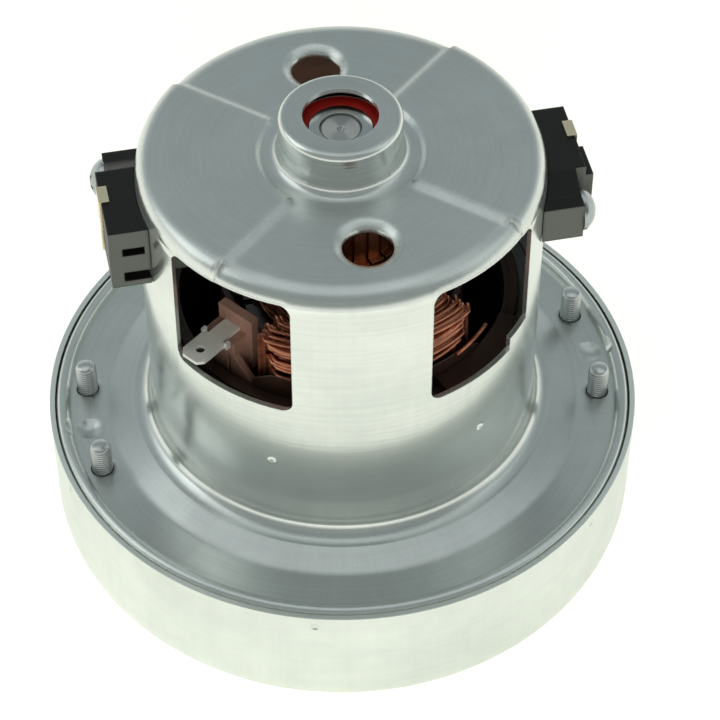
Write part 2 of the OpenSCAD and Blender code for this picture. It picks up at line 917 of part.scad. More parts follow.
module armature_winding() {
    color("sienna") {
        for (i = [0:slot_count - 1])
            rotate([0, 0, i * 360 / slot_count])
                translate([slot_r, 0, coil_low + 1])
                    cylinder(d = slot_d - 2 * fit, h = stack_top + 1.5 - coil_low - 1);
        translate([0, 0, (end_z0 + end_z1) / 2])
            rotate_extrude()
                translate([end_mid_r, 0])
                    rounded_rect(2 * end_half_r, end_z1 - end_z0, end_half_r - 0.2);
        ring(armature_r - 2.4, shaft_r + 2, coil_low + 0.6, stack_z - 0.4);
    }
}

module armature_wire() {
    color("peru")
        tube_along(end_points, end_wire);
}

module commutator_hub() {
    color("saddlebrown")
        ring(comm_r - 3, shaft_r, comm_z, comm_top);
}

module commutator_bars() {
    color("peru")
        difference() {
            union() {
                ring(comm_r, comm_r - 3, comm_z, comm_top);
                ring(comm_r + 1.6, comm_r - 3, comm_z, comm_z + 2);
            }
            for (i = [0:comm_count - 1])
                rotate([0, 0, i * 360 / comm_count])
                    block(comm_r - 1.2, comm_r + 3, -0.25, 0.25, comm_z - 1, comm_top + 1);
        }
}

// Fan wheel

module fan_back_disc() {
    color("gainsboro")
        ring(fan_r, thread_d / 2, fan_back_z, fan_back_z + fan_t);
}

module fan_vanes() {
    color("gainsboro")
        translate([0, 0, fan_front_z + fan_t])
            linear_extrude(fan_gap)
                for (i = [0:fan_count - 1])
                    rotate(i * 360 / fan_count)
                        arc_vane(fan_eye_r + vane_inset, fan_r - vane_inset, fan_sweep, fan_bow, fan_t);
}

module fan_front_disc() {
    color("gainsboro") {
        ring(fan_r, fan_eye_r, fan_front_z, fan_front_z + fan_t);
        ring(fan_eye_r + fan_t, fan_eye_r, fan_front_z - 3, fan_front_z + tiny);
    }
}

module fan_spacer() {
    color("silver")
        ring(inner_ring_d / 2 - 0.3, journal_r + seat, fan_back_z + fan_t, lower_z);
}

module fan_washer() {
    color("silver")
        ring(nut_af / 2 + 2.5, thread_d / 2, fan_back_z - 0.8, fan_back_z);
}

module fan_nut() {
    color("silver")
        translate([0, 0, nut_z])
            linear_extrude(nut_h)
                difference() {
                    circle(r = nut_af / sqrt(3), $fn = 6);
                    circle(d = thread_d);
                }
}

// Field

module field_outline() {
    difference() {
        intersection() {
            circle(field_r);
            square([2 * field_r + 1, field_flat], center = true);
        }
        difference() {
            circle(yoke_r);
            square([2 * pole_half, 2 * yoke_r + 1], center = true);
            for (side = [-90, 90])
                intersection() {
                    circle(bore_r + tip_t);
                    rotate(side)
                        wedge(shoe_half, 2 * yoke_r);
                }
        }
        circle(bore_r);
    }
}

module field_stack() {
    color("slategray")
        translate([0, 0, stack_z])
            linear_extrude(stack_h)
                field_outline();
}

module insulator(z0, z1) {
    translate([0, 0, z0])
        linear_extrude(z1 - z0)
            intersection() {
                field_outline();
                circle(field_r - 3);
            }
}

module field_insulator_top() {
    color("saddlebrown") {
        insulator(stack_top, stack_top + insul_t);
        ring(coil_in - 1.2, coil_in - 2.6, stack_top, stack_top + insul_collar);
        ring(field_r - 3.4, field_r - 4.8, stack_top, stack_top + insul_t + 0.8);
        for (side = [0, 180])
            rotate([0, 0, side - shelf_from])
                rotate_extrude(angle = shelf_span)
                    translate([yoke_r + fit, stack_top])
                        square([field_r - 1 - yoke_r - fit, insul_wall]);
    }
}

module field_insulator_low() {
    color("saddlebrown")
        insulator(stack_z - insul_t, stack_z);
}

// A coil loop is a rounded rectangle laid on a cylinder. It is measured along the arc and along Z.
coil_mid_r = (coil_in + coil_out) / 2;
coil_rise = (coil_top - coil_low) / 2;
coil_run = coil_mid_r * coil_half * PI / 180;
coil_pitch = (coil_out - coil_in + coil_under + coil_over) / (coil_loops - 1);

function super(c) = sign(c) * pow(abs(c), coil_square);

function coil_reach(h) = coil_rise * pow(1 - pow(h / coil_half, 2 / coil_square), coil_square / 2);

coil_points = [
    for (i = [0:24 * coil_loops])
        let (t = i / 24, a = 360 * t + 90, u = coil_run * super(cos(a)), v = coil_rise * super(sin(a)),
            rr = coil_in - coil_under + coil_pitch * t * (coil_loops - 1) / coil_loops,
            phi = -90 + u / coil_mid_r * 180 / PI)
        [rr * cos(phi), rr * sin(phi), coil_low + coil_rise + v]
];

coil_gap = min([
    for (i = [0:6:len(coil_points) - 1]) for (j = [i + 12:1:len(coil_points) - 1])
        norm(coil_points[i] - coil_points[j])
]) - 2 * coil_wire;

end_gap = min([
    for (i = [0:6:len(end_points) - 1]) for (j = [i + 12:1:len(end_points) - 1])
        norm(end_points[i] - end_points[j])
]) - 2 * end_wire;

echo(coil_gap = coil_gap, end_gap = end_gap);

module coil_sector(half, z0, z1, inset) {
    translate([0, 0, z0])
        rotate([0, 0, -90 - half])
            rotate_extrude(angle = 2 * half)
                translate([coil_in + inset, 0])
                    square([coil_out - coil_in - 2 * inset, z1 - z0]);
}

module field_coil() {
    mid = coil_low + coil_rise;
    step = coil_wire + wire_gap;
    color("chocolate") {
        difference() {
            union() {
                for (i = [0:2]) {
                    h = coil_half * (0.62 + 0.16 * i);
                    coil_sector(h - 1.2, mid - coil_reach(h) + step, mid + coil_reach(h) - step, 0.15 * i);
                }
            }
            block(-pole_half - fit, pole_half + fit, -yoke_r - 4, 0, stack_z - insul_t - fit,
                stack_top + insul_t + fit);
        }
        tube_along(coil_points, coil_wire);
    }
}

module field_coil_front() {
    field_coil();
}

module field_coil_back() {
    left_side()
        field_coil();
}

// Terminals

module terminal_block() {
    color("sienna")
        rotate([0, 0, tab_turn])
            translate([0, -tab_off, 0]) {
                difference() {
                    block(tab_in - 0.2, block_out, -block_half, block_half, block_z, tab_z - tab_t / 2);
                    block(block_out - 1, block_out + 1, block_half - 1.9, block_half - 1.2, block_z - 1, tab_z - 4);
                }
                block(tab_in - 2.2, tab_in, -block_half, block_half + 1.4, block_z + 4, tab_z + block_wall);
                along_x(block_out - 1.6, block_out)
                    polygon([[block_half - tiny, block_z], [block_half + block_web, block_z],
                        [block_half + block_web, block_z + 5.4], [block_half - tiny, tab_z - 4.2]]);
            }
}

module terminal_tab() {
    color("silver")
        rotate([0, 0, tab_turn])
            translate([0, -tab_off, tab_z - tab_t / 2]) {
                linear_extrude(tab_t)
                    difference() {
                        polygon([[tab_in, -tab_w / 3], [tab_in + tab_root, -tab_w / 3],
                            [tab_in + tab_root, -tab_w / 2], [tab_out - 1.4, -tab_w / 2],
                            [tab_out, -tab_w / 2 + 1.2], [tab_out, tab_w / 2 - 1.2],
                            [tab_out - 1.4, tab_w / 2], [tab_in + tab_root, tab_w / 2],
                            [tab_in + tab_root, tab_w / 3], [tab_in, tab_w / 3]]);
                        translate([tab_out - 3.4, 0])
                            circle(d = tab_hole);
                    }
                for (side = [-1, 1])
                    translate([tab_in + tab_root, side * (tab_ears + tab_w - 0.4) / 4, tab_t / 2])
                        cube([1.2, (tab_ears - tab_w + 0.4) / 2, 2.2 * tab_t], center = true);
            }
}

module terminal_block_right() {
    terminal_block();
}

module terminal_block_left() {
    left_side()
        terminal_block();
}

module terminal_tab_right() {
    terminal_tab();
}

module terminal_tab_left() {
    left_side()
        terminal_tab();
}

// Brush gear, drawn on the right and turned half round for the left

module brush_holder(cap) {
    color("black")
        difference() {
            union() {
                along_x(can_r - 8, holder_x)
                    polygon([[holder_end, holder_low], [holder_end, holder_top],
                        [-holder_end, holder_top], [-holder_end, holder_low]]);
                along_x(can_r - 8, lug_x)
                    polygon([[-holder_end + 1, lug_low], [-holder_end + 1, holder_top],
                        [-holder_end, holder_top], [-ramp_low, lug_top], [-lug_end, lug_top],
                        [-lug_end, lug_low]]);
                if (cap)
                    along_x(can_r - 1, holder_x + cap_out)
                        translate([cap_half - holder_end + 0.3, brush_z + 0.6])
                            square([2 * cap_half, cap_h], center = true);
            }
            translate([0, 0, holder_low - 1])
                cylinder(r = can_r + fit / 2, h = holder_top - holder_low + 2);
            along_x(0, tube_out)
                translate([0, brush_z])
                    square([tube_w + 2 * fit, tube_h + 2 * fit], center = true);
            along_x(0, lug_x + 1)
                translate([-lug_screw_y, brush_z + 0.4])
                    circle(lug_screw_d / 2 + screw_gap);
            block(holder_x - 7.4, holder_x - 2.7, holder_end - 2.6, holder_end + 1, brush_z + 1,
                brush_z + 3.1);
            block(0, holder_x - 2.7, holder_end - 2.6, holder_end + 1, brush_z - 6.4, brush_z - 3.8);
        }
    color("black")
        difference() {
            along_x(can_in - 9, can_r + 2)
                translate([0, brush_z])
                    square([neck_w, neck_h], center = true);
            along_x(0, tube_out)
                translate([0, brush_z])
                    square([tube_w + 2 * fit, tube_h + 2 * fit], center = true);
        }
}

module brush_holder_right() {
    brush_holder(true);
}

module brush_holder_left() {
    left_side()
        brush_holder(false);
}

module brush_tube() {
    color("goldenrod")
        along_x(tube_in, tube_out)
            translate([0, brush_z])
                difference() {
                    square([tube_w, tube_h], center = true);
                    square([tube_w - 2 * tube_t, tube_h - 2 * tube_t], center = true);
                }
}

module brush_tube_right() {
    brush_tube();
}

module brush_tube_left() {
    left_side()
        brush_tube();
}

module carbon_brush() {
    color("darkslategray")
        difference() {
            along_x(comm_r - 2, brush_out)
                translate([0, brush_z])
                    square([brush_w, brush_h], center = true);
            translate([0, 0, brush_z - brush_h])
                cylinder(r = brush_in, h = 2 * brush_h);
        }
}

module carbon_brush_right() {
    carbon_brush();
}

module carbon_brush_left() {
    left_side()
        carbon_brush();
}

spring_points = [
    for (i = [0:8 * spring_coils])
        [brush_out + spring_wire + 0.05 + (spring_len - 2 * spring_wire - 0.1) * i / (8 * spring_coils),
            spring_r * cos(45 * i), brush_z + spring_r * sin(45 * i)]
];

module brush_spring() {
    color("darkgray")
        tube_along(spring_points, spring_wire);
}

module brush_spring_right() {
    brush_spring();
}

module brush_spring_left() {
    left_side()
        brush_spring();
}

module brush_clip(way) {
    mid = way * clip_y;
    color("gold") {
        block(holder_x, holder_x + clip_t, mid - clip_w / 2, mid + clip_w / 2, brush_z, holder_top + clip_t);
        block(holder_x - clip_over, holder_x + tiny, mid - clip_w / 2, mid + clip_w / 2, holder_top,
            holder_top + clip_t);
        block(holder_x, holder_x + clip_t, mid - clip_stem / 2, mid + clip_stem / 2, holder_low + 1,
            brush_z + tiny);
    }
}

module brush_clip_right() {
    brush_clip(1);
}

module brush_clip_left() {
    left_side()
        brush_clip(-1);
}

module holder_screw() {
    color("lightgray")
        translate([0, -lug_screw_y, brush_z + 0.4])
            rotate([0, 90, 0]) {
                translate([0, 0, can_r - lug_screw_in])
                    cylinder(d = lug_screw_d, h = lug_x - can_r + lug_screw_in + tiny);
                translate([0, 0, lug_x])
                    cylinder(d = lug_collar_d, h = lug_collar_t);
                translate([0, 0, lug_x + lug_collar_t - tiny])
                    difference() {
                        intersection() {
                            cylinder(d = lug_head_d, h = lug_head_h);
                            translate([0, 0, lug_head_h - lug_ball])
                                sphere(lug_ball, $fn = 64);
                        }
                        for (turn = [0, 90])
                            rotate([0, 0, turn])
                                block(-lug_head_d / 4, lug_head_d / 4, -lug_head_d / 20, lug_head_d / 20,
                                    lug_head_h / 2, lug_head_h + 1);
                    }
            }
}

module holder_screw_right() {
    holder_screw();
}

module holder_screw_left() {
    left_side()
        holder_screw();
}

fan_cover();
eye_seal();
motor_frame();
return_guide();
bearing_bridge();
bridge_screws();
lower_bearing_outer();
lower_bearing_inner();
lower_bearing_balls();
lower_bearing_seal();
upper_bearing_outer();
upper_bearing_inner();
upper_bearing_balls();
upper_bearing_seal();
preload_washer();
shaft();
armature_core();
armature_winding();
armature_wire();
commutator_hub();
commutator_bars();
fan_back_disc();
fan_vanes();
fan_front_disc();
fan_spacer();
fan_washer();
fan_nut();
field_stack();
field_insulator_top();
field_insulator_low();
field_coil_front();
field_coil_back();
terminal_block_left();
terminal_block_right();
terminal_tab_left();
terminal_tab_right();
brush_holder_left();
brush_holder_right();
brush_tube_left();
brush_tube_right();
carbon_brush_left();
carbon_brush_right();
brush_spring_left();
brush_spring_right();
brush_clip_left();
brush_clip_right();
holder_screw_left();
holder_screw_right();
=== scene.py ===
import math
import random

import bpy
from bpy.props import FloatProperty, FloatVectorProperty, IntProperty, PointerProperty
from mathutils import Matrix, Vector


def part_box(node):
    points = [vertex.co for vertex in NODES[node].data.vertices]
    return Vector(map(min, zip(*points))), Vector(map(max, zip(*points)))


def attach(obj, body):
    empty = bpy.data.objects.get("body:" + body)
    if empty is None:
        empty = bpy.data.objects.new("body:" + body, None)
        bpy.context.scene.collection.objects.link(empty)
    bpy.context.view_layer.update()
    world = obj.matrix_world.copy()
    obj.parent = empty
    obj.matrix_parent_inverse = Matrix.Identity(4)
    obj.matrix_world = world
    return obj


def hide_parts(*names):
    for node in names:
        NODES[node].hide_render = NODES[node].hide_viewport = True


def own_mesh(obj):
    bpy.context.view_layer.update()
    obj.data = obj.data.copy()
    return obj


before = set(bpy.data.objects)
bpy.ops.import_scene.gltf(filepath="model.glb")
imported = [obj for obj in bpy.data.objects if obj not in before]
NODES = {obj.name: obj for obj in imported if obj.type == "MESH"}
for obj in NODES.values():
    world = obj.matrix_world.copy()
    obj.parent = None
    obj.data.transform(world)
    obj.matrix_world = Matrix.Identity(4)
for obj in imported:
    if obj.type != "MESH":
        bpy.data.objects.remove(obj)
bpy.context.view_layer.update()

bl_info = {
    "name": "Vacuum Motor Looks",
    "version": (1, 0, 0),
    "blender": (4, 5, 0),
    "location": "View3D > Sidebar > Motor",
    "description": "Finishes, windings and small hardware of a vacuum cleaner motor, with its studio stage",
    "category": "Object",
}

MM = 0.001


# Property groups


def colour(name, description, default):
    """Colour setting."""
    return FloatVectorProperty(
        name=name, description=description, default=default, subtype="COLOR", size=3, min=0, max=1
    )


def length(name, description, default):
    """Length setting."""
    return FloatProperty(
        name=name, description=description, default=default, min=0, unit="LENGTH", subtype="DISTANCE"
    )


class MotorFinish(bpy.types.PropertyGroup):
    """Colours of the finishes."""

    zinc: colour("Zinc Sheet", "Colour of the zinc coated sheet", (0.84, 0.87, 0.825))
    zinc_dark: colour("Zinc Sheet Dark", "Colour of the dull patches of the sheet", (0.62, 0.655, 0.63))
    bright: colour("Bright Steel", "Colour of plated screws and bearing rings", (0.74, 0.75, 0.74))
    black: colour("Black Plastic", "Colour of the brush holders", (0.005, 0.005, 0.004))
    # Painted light: a paler colour painted on the ends of the brush holders, where the light falls on them
    black_lit_ends: colour(
        "Black Plastic Ends", "Colour of the matt ends of the brush holders", (0.14, 0.145, 0.125)
    )
    brown: colour("Brown Plastic", "Colour of the field insulators", (0.040, 0.018, 0.012))
    # Painted shade: the level faces of the sheet are painted in this darker, bluer colour
    rolled: colour("Rolled Zinc", "Colour of the flat zinc faces", (0.57, 0.605, 0.595))
    block: colour("Terminal Block", "Colour of the terminal blocks", (0.42, 0.235, 0.175))
    copper: colour("Copper Wire", "Colour of the enamelled winding wire", (0.78, 0.31, 0.175))
    copper_dark: colour("Copper Wire Dark", "Colour of the shaded side of the wire", (0.30, 0.085, 0.042))
    brass: colour("Brass", "Colour of clips and brush tubes", (0.97, 0.84, 0.60))
    tin: colour("Tinned Brass", "Colour of the tab terminals", (0.92, 0.92, 0.86))
    seal: colour("Bearing Seal", "Colour of the rubber bearing seal", (0.50, 0.017, 0.010))
    lamination: colour("Lamination", "Colour of the stacked steel sheets", (0.20, 0.205, 0.215))
    carbon: colour("Carbon", "Colour of the brushes", (0.020, 0.020, 0.021))
    guide: colour("Guide Plastic", "Colour of the return guide", (0.030, 0.031, 0.033))
    aluminium: colour("Aluminium", "Colour of the fan wheel", (0.80, 0.81, 0.82))


class MotorWinding(bpy.types.PropertyGroup):
    """Sizes of the windings and springs."""

    wire: length("Wire Diameter", "Diameter of the field wire", 0.86 * MM)
    layers: IntProperty(
        name="Layers", description="Layers of wire across a field coil", default=8, min=2, max=12
    )
    turns: IntProperty(
        name="Turns", description="Turns in each layer of a field coil", default=7, min=2, max=12
    )
    loose: length("Looseness", "How far the end turns stray from their lay", 0.8 * MM)
    fine_wire: length("Armature Wire Diameter", "Diameter of the armature wire", 0.55 * MM)
    spring_wire: length("Spring Wire Diameter", "Diameter of the brush spring wire", 0.6 * MM)
    seed: IntProperty(name="Seed", description="Number that fixes the stray of the turns", default=7)


class MotorHardware(bpy.types.PropertyGroup):
    """Sizes of the screw threads."""

    pitch: length("Thread Pitch", "Pitch of the bridge screw thread", 0.7 * MM)
    depth: length("Thread Depth", "Depth of the bridge screw thread", 0.18 * MM)


class MotorStage(bpy.types.PropertyGroup):
    """Camera, floor and light."""

    lens: FloatProperty(name="Lens", description="Focal length for a 36 mm sensor", default=130.38)
    distance: length("Distance", "Camera distance from the aim point", 597.03 * MM)
    rise: FloatProperty(
        name="Elevation", description="Camera elevation", default=math.radians(47.71), subtype="ANGLE"
    )
    turn: FloatProperty(
        name="Turn", description="Turn of the motor before the camera", default=math.radians(11.2),
        subtype="ANGLE",
    )
    yaw: FloatProperty(name="Yaw", description="Camera yaw", default=math.radians(0.39), subtype="ANGLE")
    roll: FloatProperty(name="Roll", description="Camera roll", default=math.radians(-0.38), subtype="ANGLE")
    aim: length("Aim Height", "Height of the aim point", 42.12 * MM)
    floor: colour("Floor", "Colour of the floor", (0.90, 0.905, 0.85))


# Mesh helpers


def piece(name, verts, faces, body, material, replaces=(), smooth=True):
    """New mesh piece that rides on a body."""
    mesh = bpy.data.meshes.new(name)
    mesh.from_pydata([tuple(v) for v in verts], [], faces)
    mesh.polygons.foreach_set("use_smooth", [smooth] * len(mesh.polygons))
    mesh.update()
    if mesh.validate():
        raise RuntimeError(f"{name} has a broken mesh")
    obj = bpy.data.objects.new(name, mesh)
    bpy.context.scene.collection.objects.link(obj)
    mesh.materials.append(material)
    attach(obj, body)
    if replaces:
        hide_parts(*replaces)
    return obj


class Tubes:
    """Gathers round wires along lists of points into one mesh."""

    def __init__(self, sides=7):
        self.sides = sides
        self.verts = []
        self.faces = []

    def add(self, points, radius, closed=False):
        """Adds one wire, open with flat ends or closed on itself."""
        n = len(points)
        points = [Vector(p) for p in points]
        base = len(self.verts)
        normal = None
        for i, p in enumerate(points):
            if closed:
                d = points[(i + 1) % n] - points[i - 1]
            else:
                d = points[min(i + 1, n - 1)] - points[max(i - 1, 0)]
            d.normalize()
            if normal is None:
                side = Vector((0, 0, 1)) if abs(d.z) < 0.9 else Vector((1, 0, 0))
                normal = side - d * side.dot(d)
            normal = (normal - d * normal.dot(d)).normalized()
            across = d.cross(normal)
            for k in range(self.sides):
                a = 2 * math.pi * k / self.sides
                self.verts.append(p + radius * (math.cos(a) * normal + math.sin(a) * across))
        if closed:
            last = self.verts[base + (n - 1) * self.sides]
            shift = min(range(self.sides), key=lambda k: (self.verts[base + k] - last).length)
        for i in range(n if closed else n - 1):
            for k in range(self.sides):
                k2 = (k + 1) % self.sides
                a, b = base + i * self.sides + k, base + i * self.sides + k2
                if i < n - 1:
                    c, e = b + self.sides, a + self.sides
                else:
                    c = base + (k2 + shift) % self.sides
                    e = base + (k + shift) % self.sides
                self.faces.append((a, b, c, e))
        if not closed:
            self.faces.append(tuple(base + k for k in reversed(range(self.sides))))
            self.faces.append(tuple(base + (n - 1) * self.sides + k for k in range(self.sides)))


def polar(r, degrees, z):
    """Point at a radius, an angle and a height."""
    a = math.radians(degrees)
    return Vector((r * math.cos(a), r * math.sin(a), z))


def skin(rows, around, base=0, outward=True):
    """Faces between rows of points that each close on themselves."""
    faces = []
    for i in range(rows - 1):
        for k in range(around):
            a = base + i * around + k
            b = base + i * around + (k + 1) % around
            faces.append((a, b, b + around, a + around) if outward else (a, a + around, b + around, b))
    return faces


def bow(first, sweep, rim, r_mid, start, peak, steps, ease):
    """Points of one end turn that bows from slot to slot, inwards and away from the stack."""
    line = []
    for k in range(steps + 1):
        t = k / steps
        bend = math.sin(math.pi * t)
        r = rim * (1 - bend) + r_mid * bend
        z = start + (peak - start) * min(1.0, 2.4 * bend) ** ease
        line.append(polar(r, first + sweep * t, z))
    return line


def round_turn(half, low, top):
    """Angle and height points along one coil turn with rounded corners."""
    swing, drop = 6.0, 4.2 * MM
    right = half - swing
    steps = 24
    quarter = [math.radians(15 * k) for k in range(7)]
    flat = [-right + 2 * right * k / steps for k in range(1, steps)]
    path = [(a, top) for a in flat]
    path += [(right + swing * math.sin(q), top - drop + drop * math.cos(q)) for q in quarter]
    path += [(right + swing * math.cos(q), low + drop - drop * math.sin(q)) for q in quarter]
    path += [(-a, low) for a in flat]
    path += [(-right - swing * math.sin(q), low + drop - drop * math.cos(q)) for q in quarter]
    path += [(-right - swing * math.cos(q), top - drop + drop * math.sin(q)) for q in quarter]
    return path


# Shader helpers


def new_group(name, inputs, outputs):
    """Empty shader node group with its sockets, and its input and output nodes."""
    group = bpy.data.node_groups.new(name, "ShaderNodeTree")
    for kind, label, default in inputs:
        socket = group.interface.new_socket(name=label, in_out="INPUT", socket_type=kind)
        socket.default_value = default
    for kind, label in outputs:
        group.interface.new_socket(name=label, in_out="OUTPUT", socket_type=kind)
    return group, group.nodes.new("NodeGroupInput"), group.nodes.new("NodeGroupOutput")


class Wiring:
    """Short ways to add nodes to one tree."""

    def __init__(self, tree):
        self.tree = tree

    def node(self, kind, **values):
        made = self.tree.nodes.new(kind)
        for key, value in values.items():
            setattr(made, key, value)
        return made

    def link(self, a, b):
        self.tree.links.new(a, b)

    def put(self, socket, value):
        if isinstance(value, bpy.types.NodeSocket):
            self.link(value, socket)
        else:
            socket.default_value = value

    def math(self, operation, a, b=0.0, clamp=False):
        made = self.node("ShaderNodeMath", operation=operation, use_clamp=clamp)
        self.put(made.inputs[0], a)
        self.put(made.inputs[1], b)
        return made.outputs[0]

    def vector(self, operation, a, b=None, scale=None):
        made = self.node("ShaderNodeVectorMath", operation=operation)
        self.put(made.inputs[0], a)
        if b is not None:
            self.put(made.inputs[1], b)
        if scale is not None:
            self.put(made.inputs["Scale"], scale)
        return made.outputs["Value"] if operation in ("LENGTH", "DOT_PRODUCT") else made.outputs["Vector"]

    def join(self, x, y, z):
        made = self.node("ShaderNodeCombineXYZ")
        for socket, value in zip(made.inputs, (x, y, z)):
            self.put(socket, value)
        return made.outputs[0]

    def noise(self, vector, scale, detail=2.0, rough=0.5):
        made = self.node("ShaderNodeTexNoise")
        self.link(vector, made.inputs["Vector"])
        self.put(made.inputs["Scale"], scale)
        self.put(made.inputs["Detail"], detail)
        self.put(made.inputs["Roughness"], rough)
        return made.outputs["Fac"]

    def span(self, value, low, high, to_low=0.0, to_high=1.0):
        made = self.node("ShaderNodeMapRange")
        self.put(made.inputs["Value"], value)
        for label, number in (
            ("From Min", low), ("From Max", high), ("To Min", to_low), ("To Max", to_high)
        ):
            self.put(made.inputs[label], number)
        return made.outputs[0]

    def mix(self, share, a, b):
        made = self.node("ShaderNodeMix", data_type="RGBA")
        self.put(made.inputs["Factor"], share)
        for label, value in (("A", a), ("B", b)):
            socket = [s for s in made.inputs if s.name == label and s.type == "RGBA"][0]
            if isinstance(value, bpy.types.NodeSocket):
                self.link(value, socket)
            else:
                socket.default_value = (*value, 1)
        return [s for s in made.outputs if s.type == "RGBA"][0]

    def group(self, tree, **values):
        made = self.node("ShaderNodeGroup", node_tree=tree)
        for label, value in values.items():
            self.put(made.inputs[label], value)
        return made

    def bump(self, height, strength, distance, normal=None):
        made = self.node("ShaderNodeBump")
        self.put(made.inputs["Strength"], strength)
        self.put(made.inputs["Distance"], distance)
        self.link(height, made.inputs["Height"])
        if normal is not None:
            self.link(normal, made.inputs["Normal"])
        return made.outputs["Normal"]

    def ray_masks(self):
        """Masks of the camera's rays, and of all rays that show a surface in the picture or a reflection."""
        path = self.node("ShaderNodeLightPath")
        camera = path.outputs["Is Camera Ray"]
        mirrored = self.math("MAXIMUM", path.outputs["Is Glossy Ray"], path.outputs["Is Transmission Ray"])
        return camera, self.math("MAXIMUM", camera, mirrored)


def make_round_marks():
    """Marks that run up, along and round a turned or drawn piece."""
    group, gi, go = new_group(
        "round_marks",
        [
            ("NodeSocketVector", "Place", (0, 0, 0)),
            ("NodeSocketFloat", "Upright", 80.0),
            ("NodeSocketFloat", "Rings", 1500.0),
            ("NodeSocketFloat", "Cloud", 70.0),
        ],
        [("NodeSocketFloat", "Upright"), ("NodeSocketFloat", "Rings"), ("NodeSocketFloat", "Cloud")],
    )
    w = Wiring(group)
    split = w.node("ShaderNodeSeparateXYZ")
    w.link(gi.outputs["Place"], split.inputs[0])
    flat = w.join(split.outputs[0], split.outputs[1], 0.0)
    radius = w.vector("LENGTH", flat)
    unit = w.vector("NORMALIZE", flat)
    height = w.join(0.0, 0.0, w.math("MULTIPLY", split.outputs[2], 22.0))
    around = w.vector("ADD", w.vector("SCALE", unit, scale=gi.outputs["Upright"]), height)
    w.link(w.noise(around, 1.0, 3.0, 0.65), go.inputs["Upright"])
    ring = w.join(
        w.math("MULTIPLY", radius, gi.outputs["Rings"]),
        w.math("MULTIPLY", split.outputs[2], gi.outputs["Rings"]),
        0.0,
    )
    swept = w.vector("ADD", ring, w.vector("SCALE", unit, scale=1.6))
    w.link(w.noise(swept, 1.0, 2.0, 0.6), go.inputs["Rings"])
    w.link(w.noise(gi.outputs["Place"], gi.outputs["Cloud"], 4.0, 0.6), go.inputs["Cloud"])
    return group


def make_soft_edge():
    """Rounded edge normals and a mask of the edges."""
    group, gi, go = new_group(
        "soft_edge",
        [("NodeSocketFloat", "Radius", 0.0003), ("NodeSocketFloat", "Gain", 6.0)],
        [("NodeSocketVector", "Normal"), ("NodeSocketFloat", "Edge")],
    )
    w = Wiring(group)
    bevel = w.node("ShaderNodeBevel", samples=6)
    w.link(gi.outputs["Radius"], bevel.inputs["Radius"])
    place = w.node("ShaderNodeNewGeometry")
    w.link(bevel.outputs[0], go.inputs["Normal"])
    along = w.vector("DOT_PRODUCT", bevel.outputs[0], place.outputs["Normal"])
    off = w.math("MULTIPLY", w.math("SUBTRACT", 1.0, along), gi.outputs["Gain"], clamp=True)
    w.link(off, go.inputs["Edge"])
    return group


def make_grain():
    """Fine grain and broad dulling of a moulded or blasted face."""
    group, gi, go = new_group(
        "grain",
        [
            ("NodeSocketVector", "Place", (0, 0, 0)),
            ("NodeSocketFloat", "Fine", 2600.0),
            ("NodeSocketFloat", "Broad", 120.0),
        ],
        [("NodeSocketFloat", "Fine"), ("NodeSocketFloat", "Broad")],
    )
    w = Wiring(group)
    w.link(w.noise(gi.outputs["Place"], gi.outputs["Fine"], 2.0), go.inputs["Fine"])
    w.link(w.noise(gi.outputs["Place"], gi.outputs["Broad"], 3.0), go.inputs["Broad"])
    return group


def make_facing():
    """Mask of the faces that look along an axis, either way."""
    group, gi, go = new_group(
        "facing",
        [
            ("NodeSocketVector", "Facing", (0, 0, 0)),
            ("NodeSocketVector", "Axis", (0, 0, 1)),
            ("NodeSocketFloat", "From", 0.6),
            ("NodeSocketFloat", "To", 0.9),
        ],
        [("NodeSocketFloat", "Mask")],
    )
    w = Wiring(group)
    along = w.math("ABSOLUTE", w.vector("DOT_PRODUCT", gi.outputs["Facing"], gi.outputs["Axis"]))
    w.link(w.span(along, gi.outputs["From"], gi.outputs["To"]), go.inputs["Mask"])
    return group


def make_crown():
    """Wider edge rounding on the top and the flange slope of a pressing, and the turned bands of its boss."""
    group, gi, go = new_group(
        "crown",
        [
            ("NodeSocketVector", "Place", (0, 0, 0)),
            ("NodeSocketFloat", "Low", 0.1),
            ("NodeSocketFloat", "Inner", 0.01),
            ("NodeSocketFloat", "Flange", 0.036),
            ("NodeSocketFloat", "Slope", 0.054),
            ("NodeSocketFloat", "Base", 0.0003),
            ("NodeSocketFloat", "Top", 0.001),
        ],
        [("NodeSocketFloat", "Radius"), ("NodeSocketFloat", "Bands")],
    )
    w = Wiring(group)
    split = w.node("ShaderNodeSeparateXYZ")
    w.link(gi.outputs["Place"], split.inputs[0])
    radius = w.vector("LENGTH", w.join(split.outputs[0], split.outputs[1], 0.0))
    high = w.math("GREATER_THAN", split.outputs[2], gi.outputs["Low"])
    outside = w.math("GREATER_THAN", radius, gi.outputs["Inner"])
    off_slope = w.math("ABSOLUTE", w.math("SUBTRACT", radius, gi.outputs["Slope"]))
    near_slope = w.math("LESS_THAN", off_slope, 4 * MM)
    slope = w.math("MULTIPLY", w.math("LESS_THAN", split.outputs[2], gi.outputs["Flange"]), near_slope)
    share = w.math("ADD", w.math("MULTIPLY", high, outside), slope, clamp=True)
    w.link(w.span(share, 0.0, 1.0, gi.outputs["Base"], gi.outputs["Top"]), go.inputs["Radius"])
    lines = w.noise(w.join(0.0, 0.0, w.math("MULTIPLY", split.outputs[2], 900.0)), 1.0, 2.0, 0.6)
    boss = w.math("MULTIPLY", high, w.math("SUBTRACT", 1.0, outside))
    w.link(w.math("MULTIPLY", boss, w.span(lines, 0.35, 0.65, -0.5, 0.5)), go.inputs["Bands"])
    return group


GROUPS = {}


def shared(name):
    """One of the shared node groups, made once."""
    makers = {
        "round_marks": make_round_marks,
        "soft_edge": make_soft_edge,
        "grain": make_grain,
        "facing": make_facing,
        "crown": make_crown,
    }
    if name not in GROUPS:
        GROUPS[name] = makers[name]()
    return GROUPS[name]


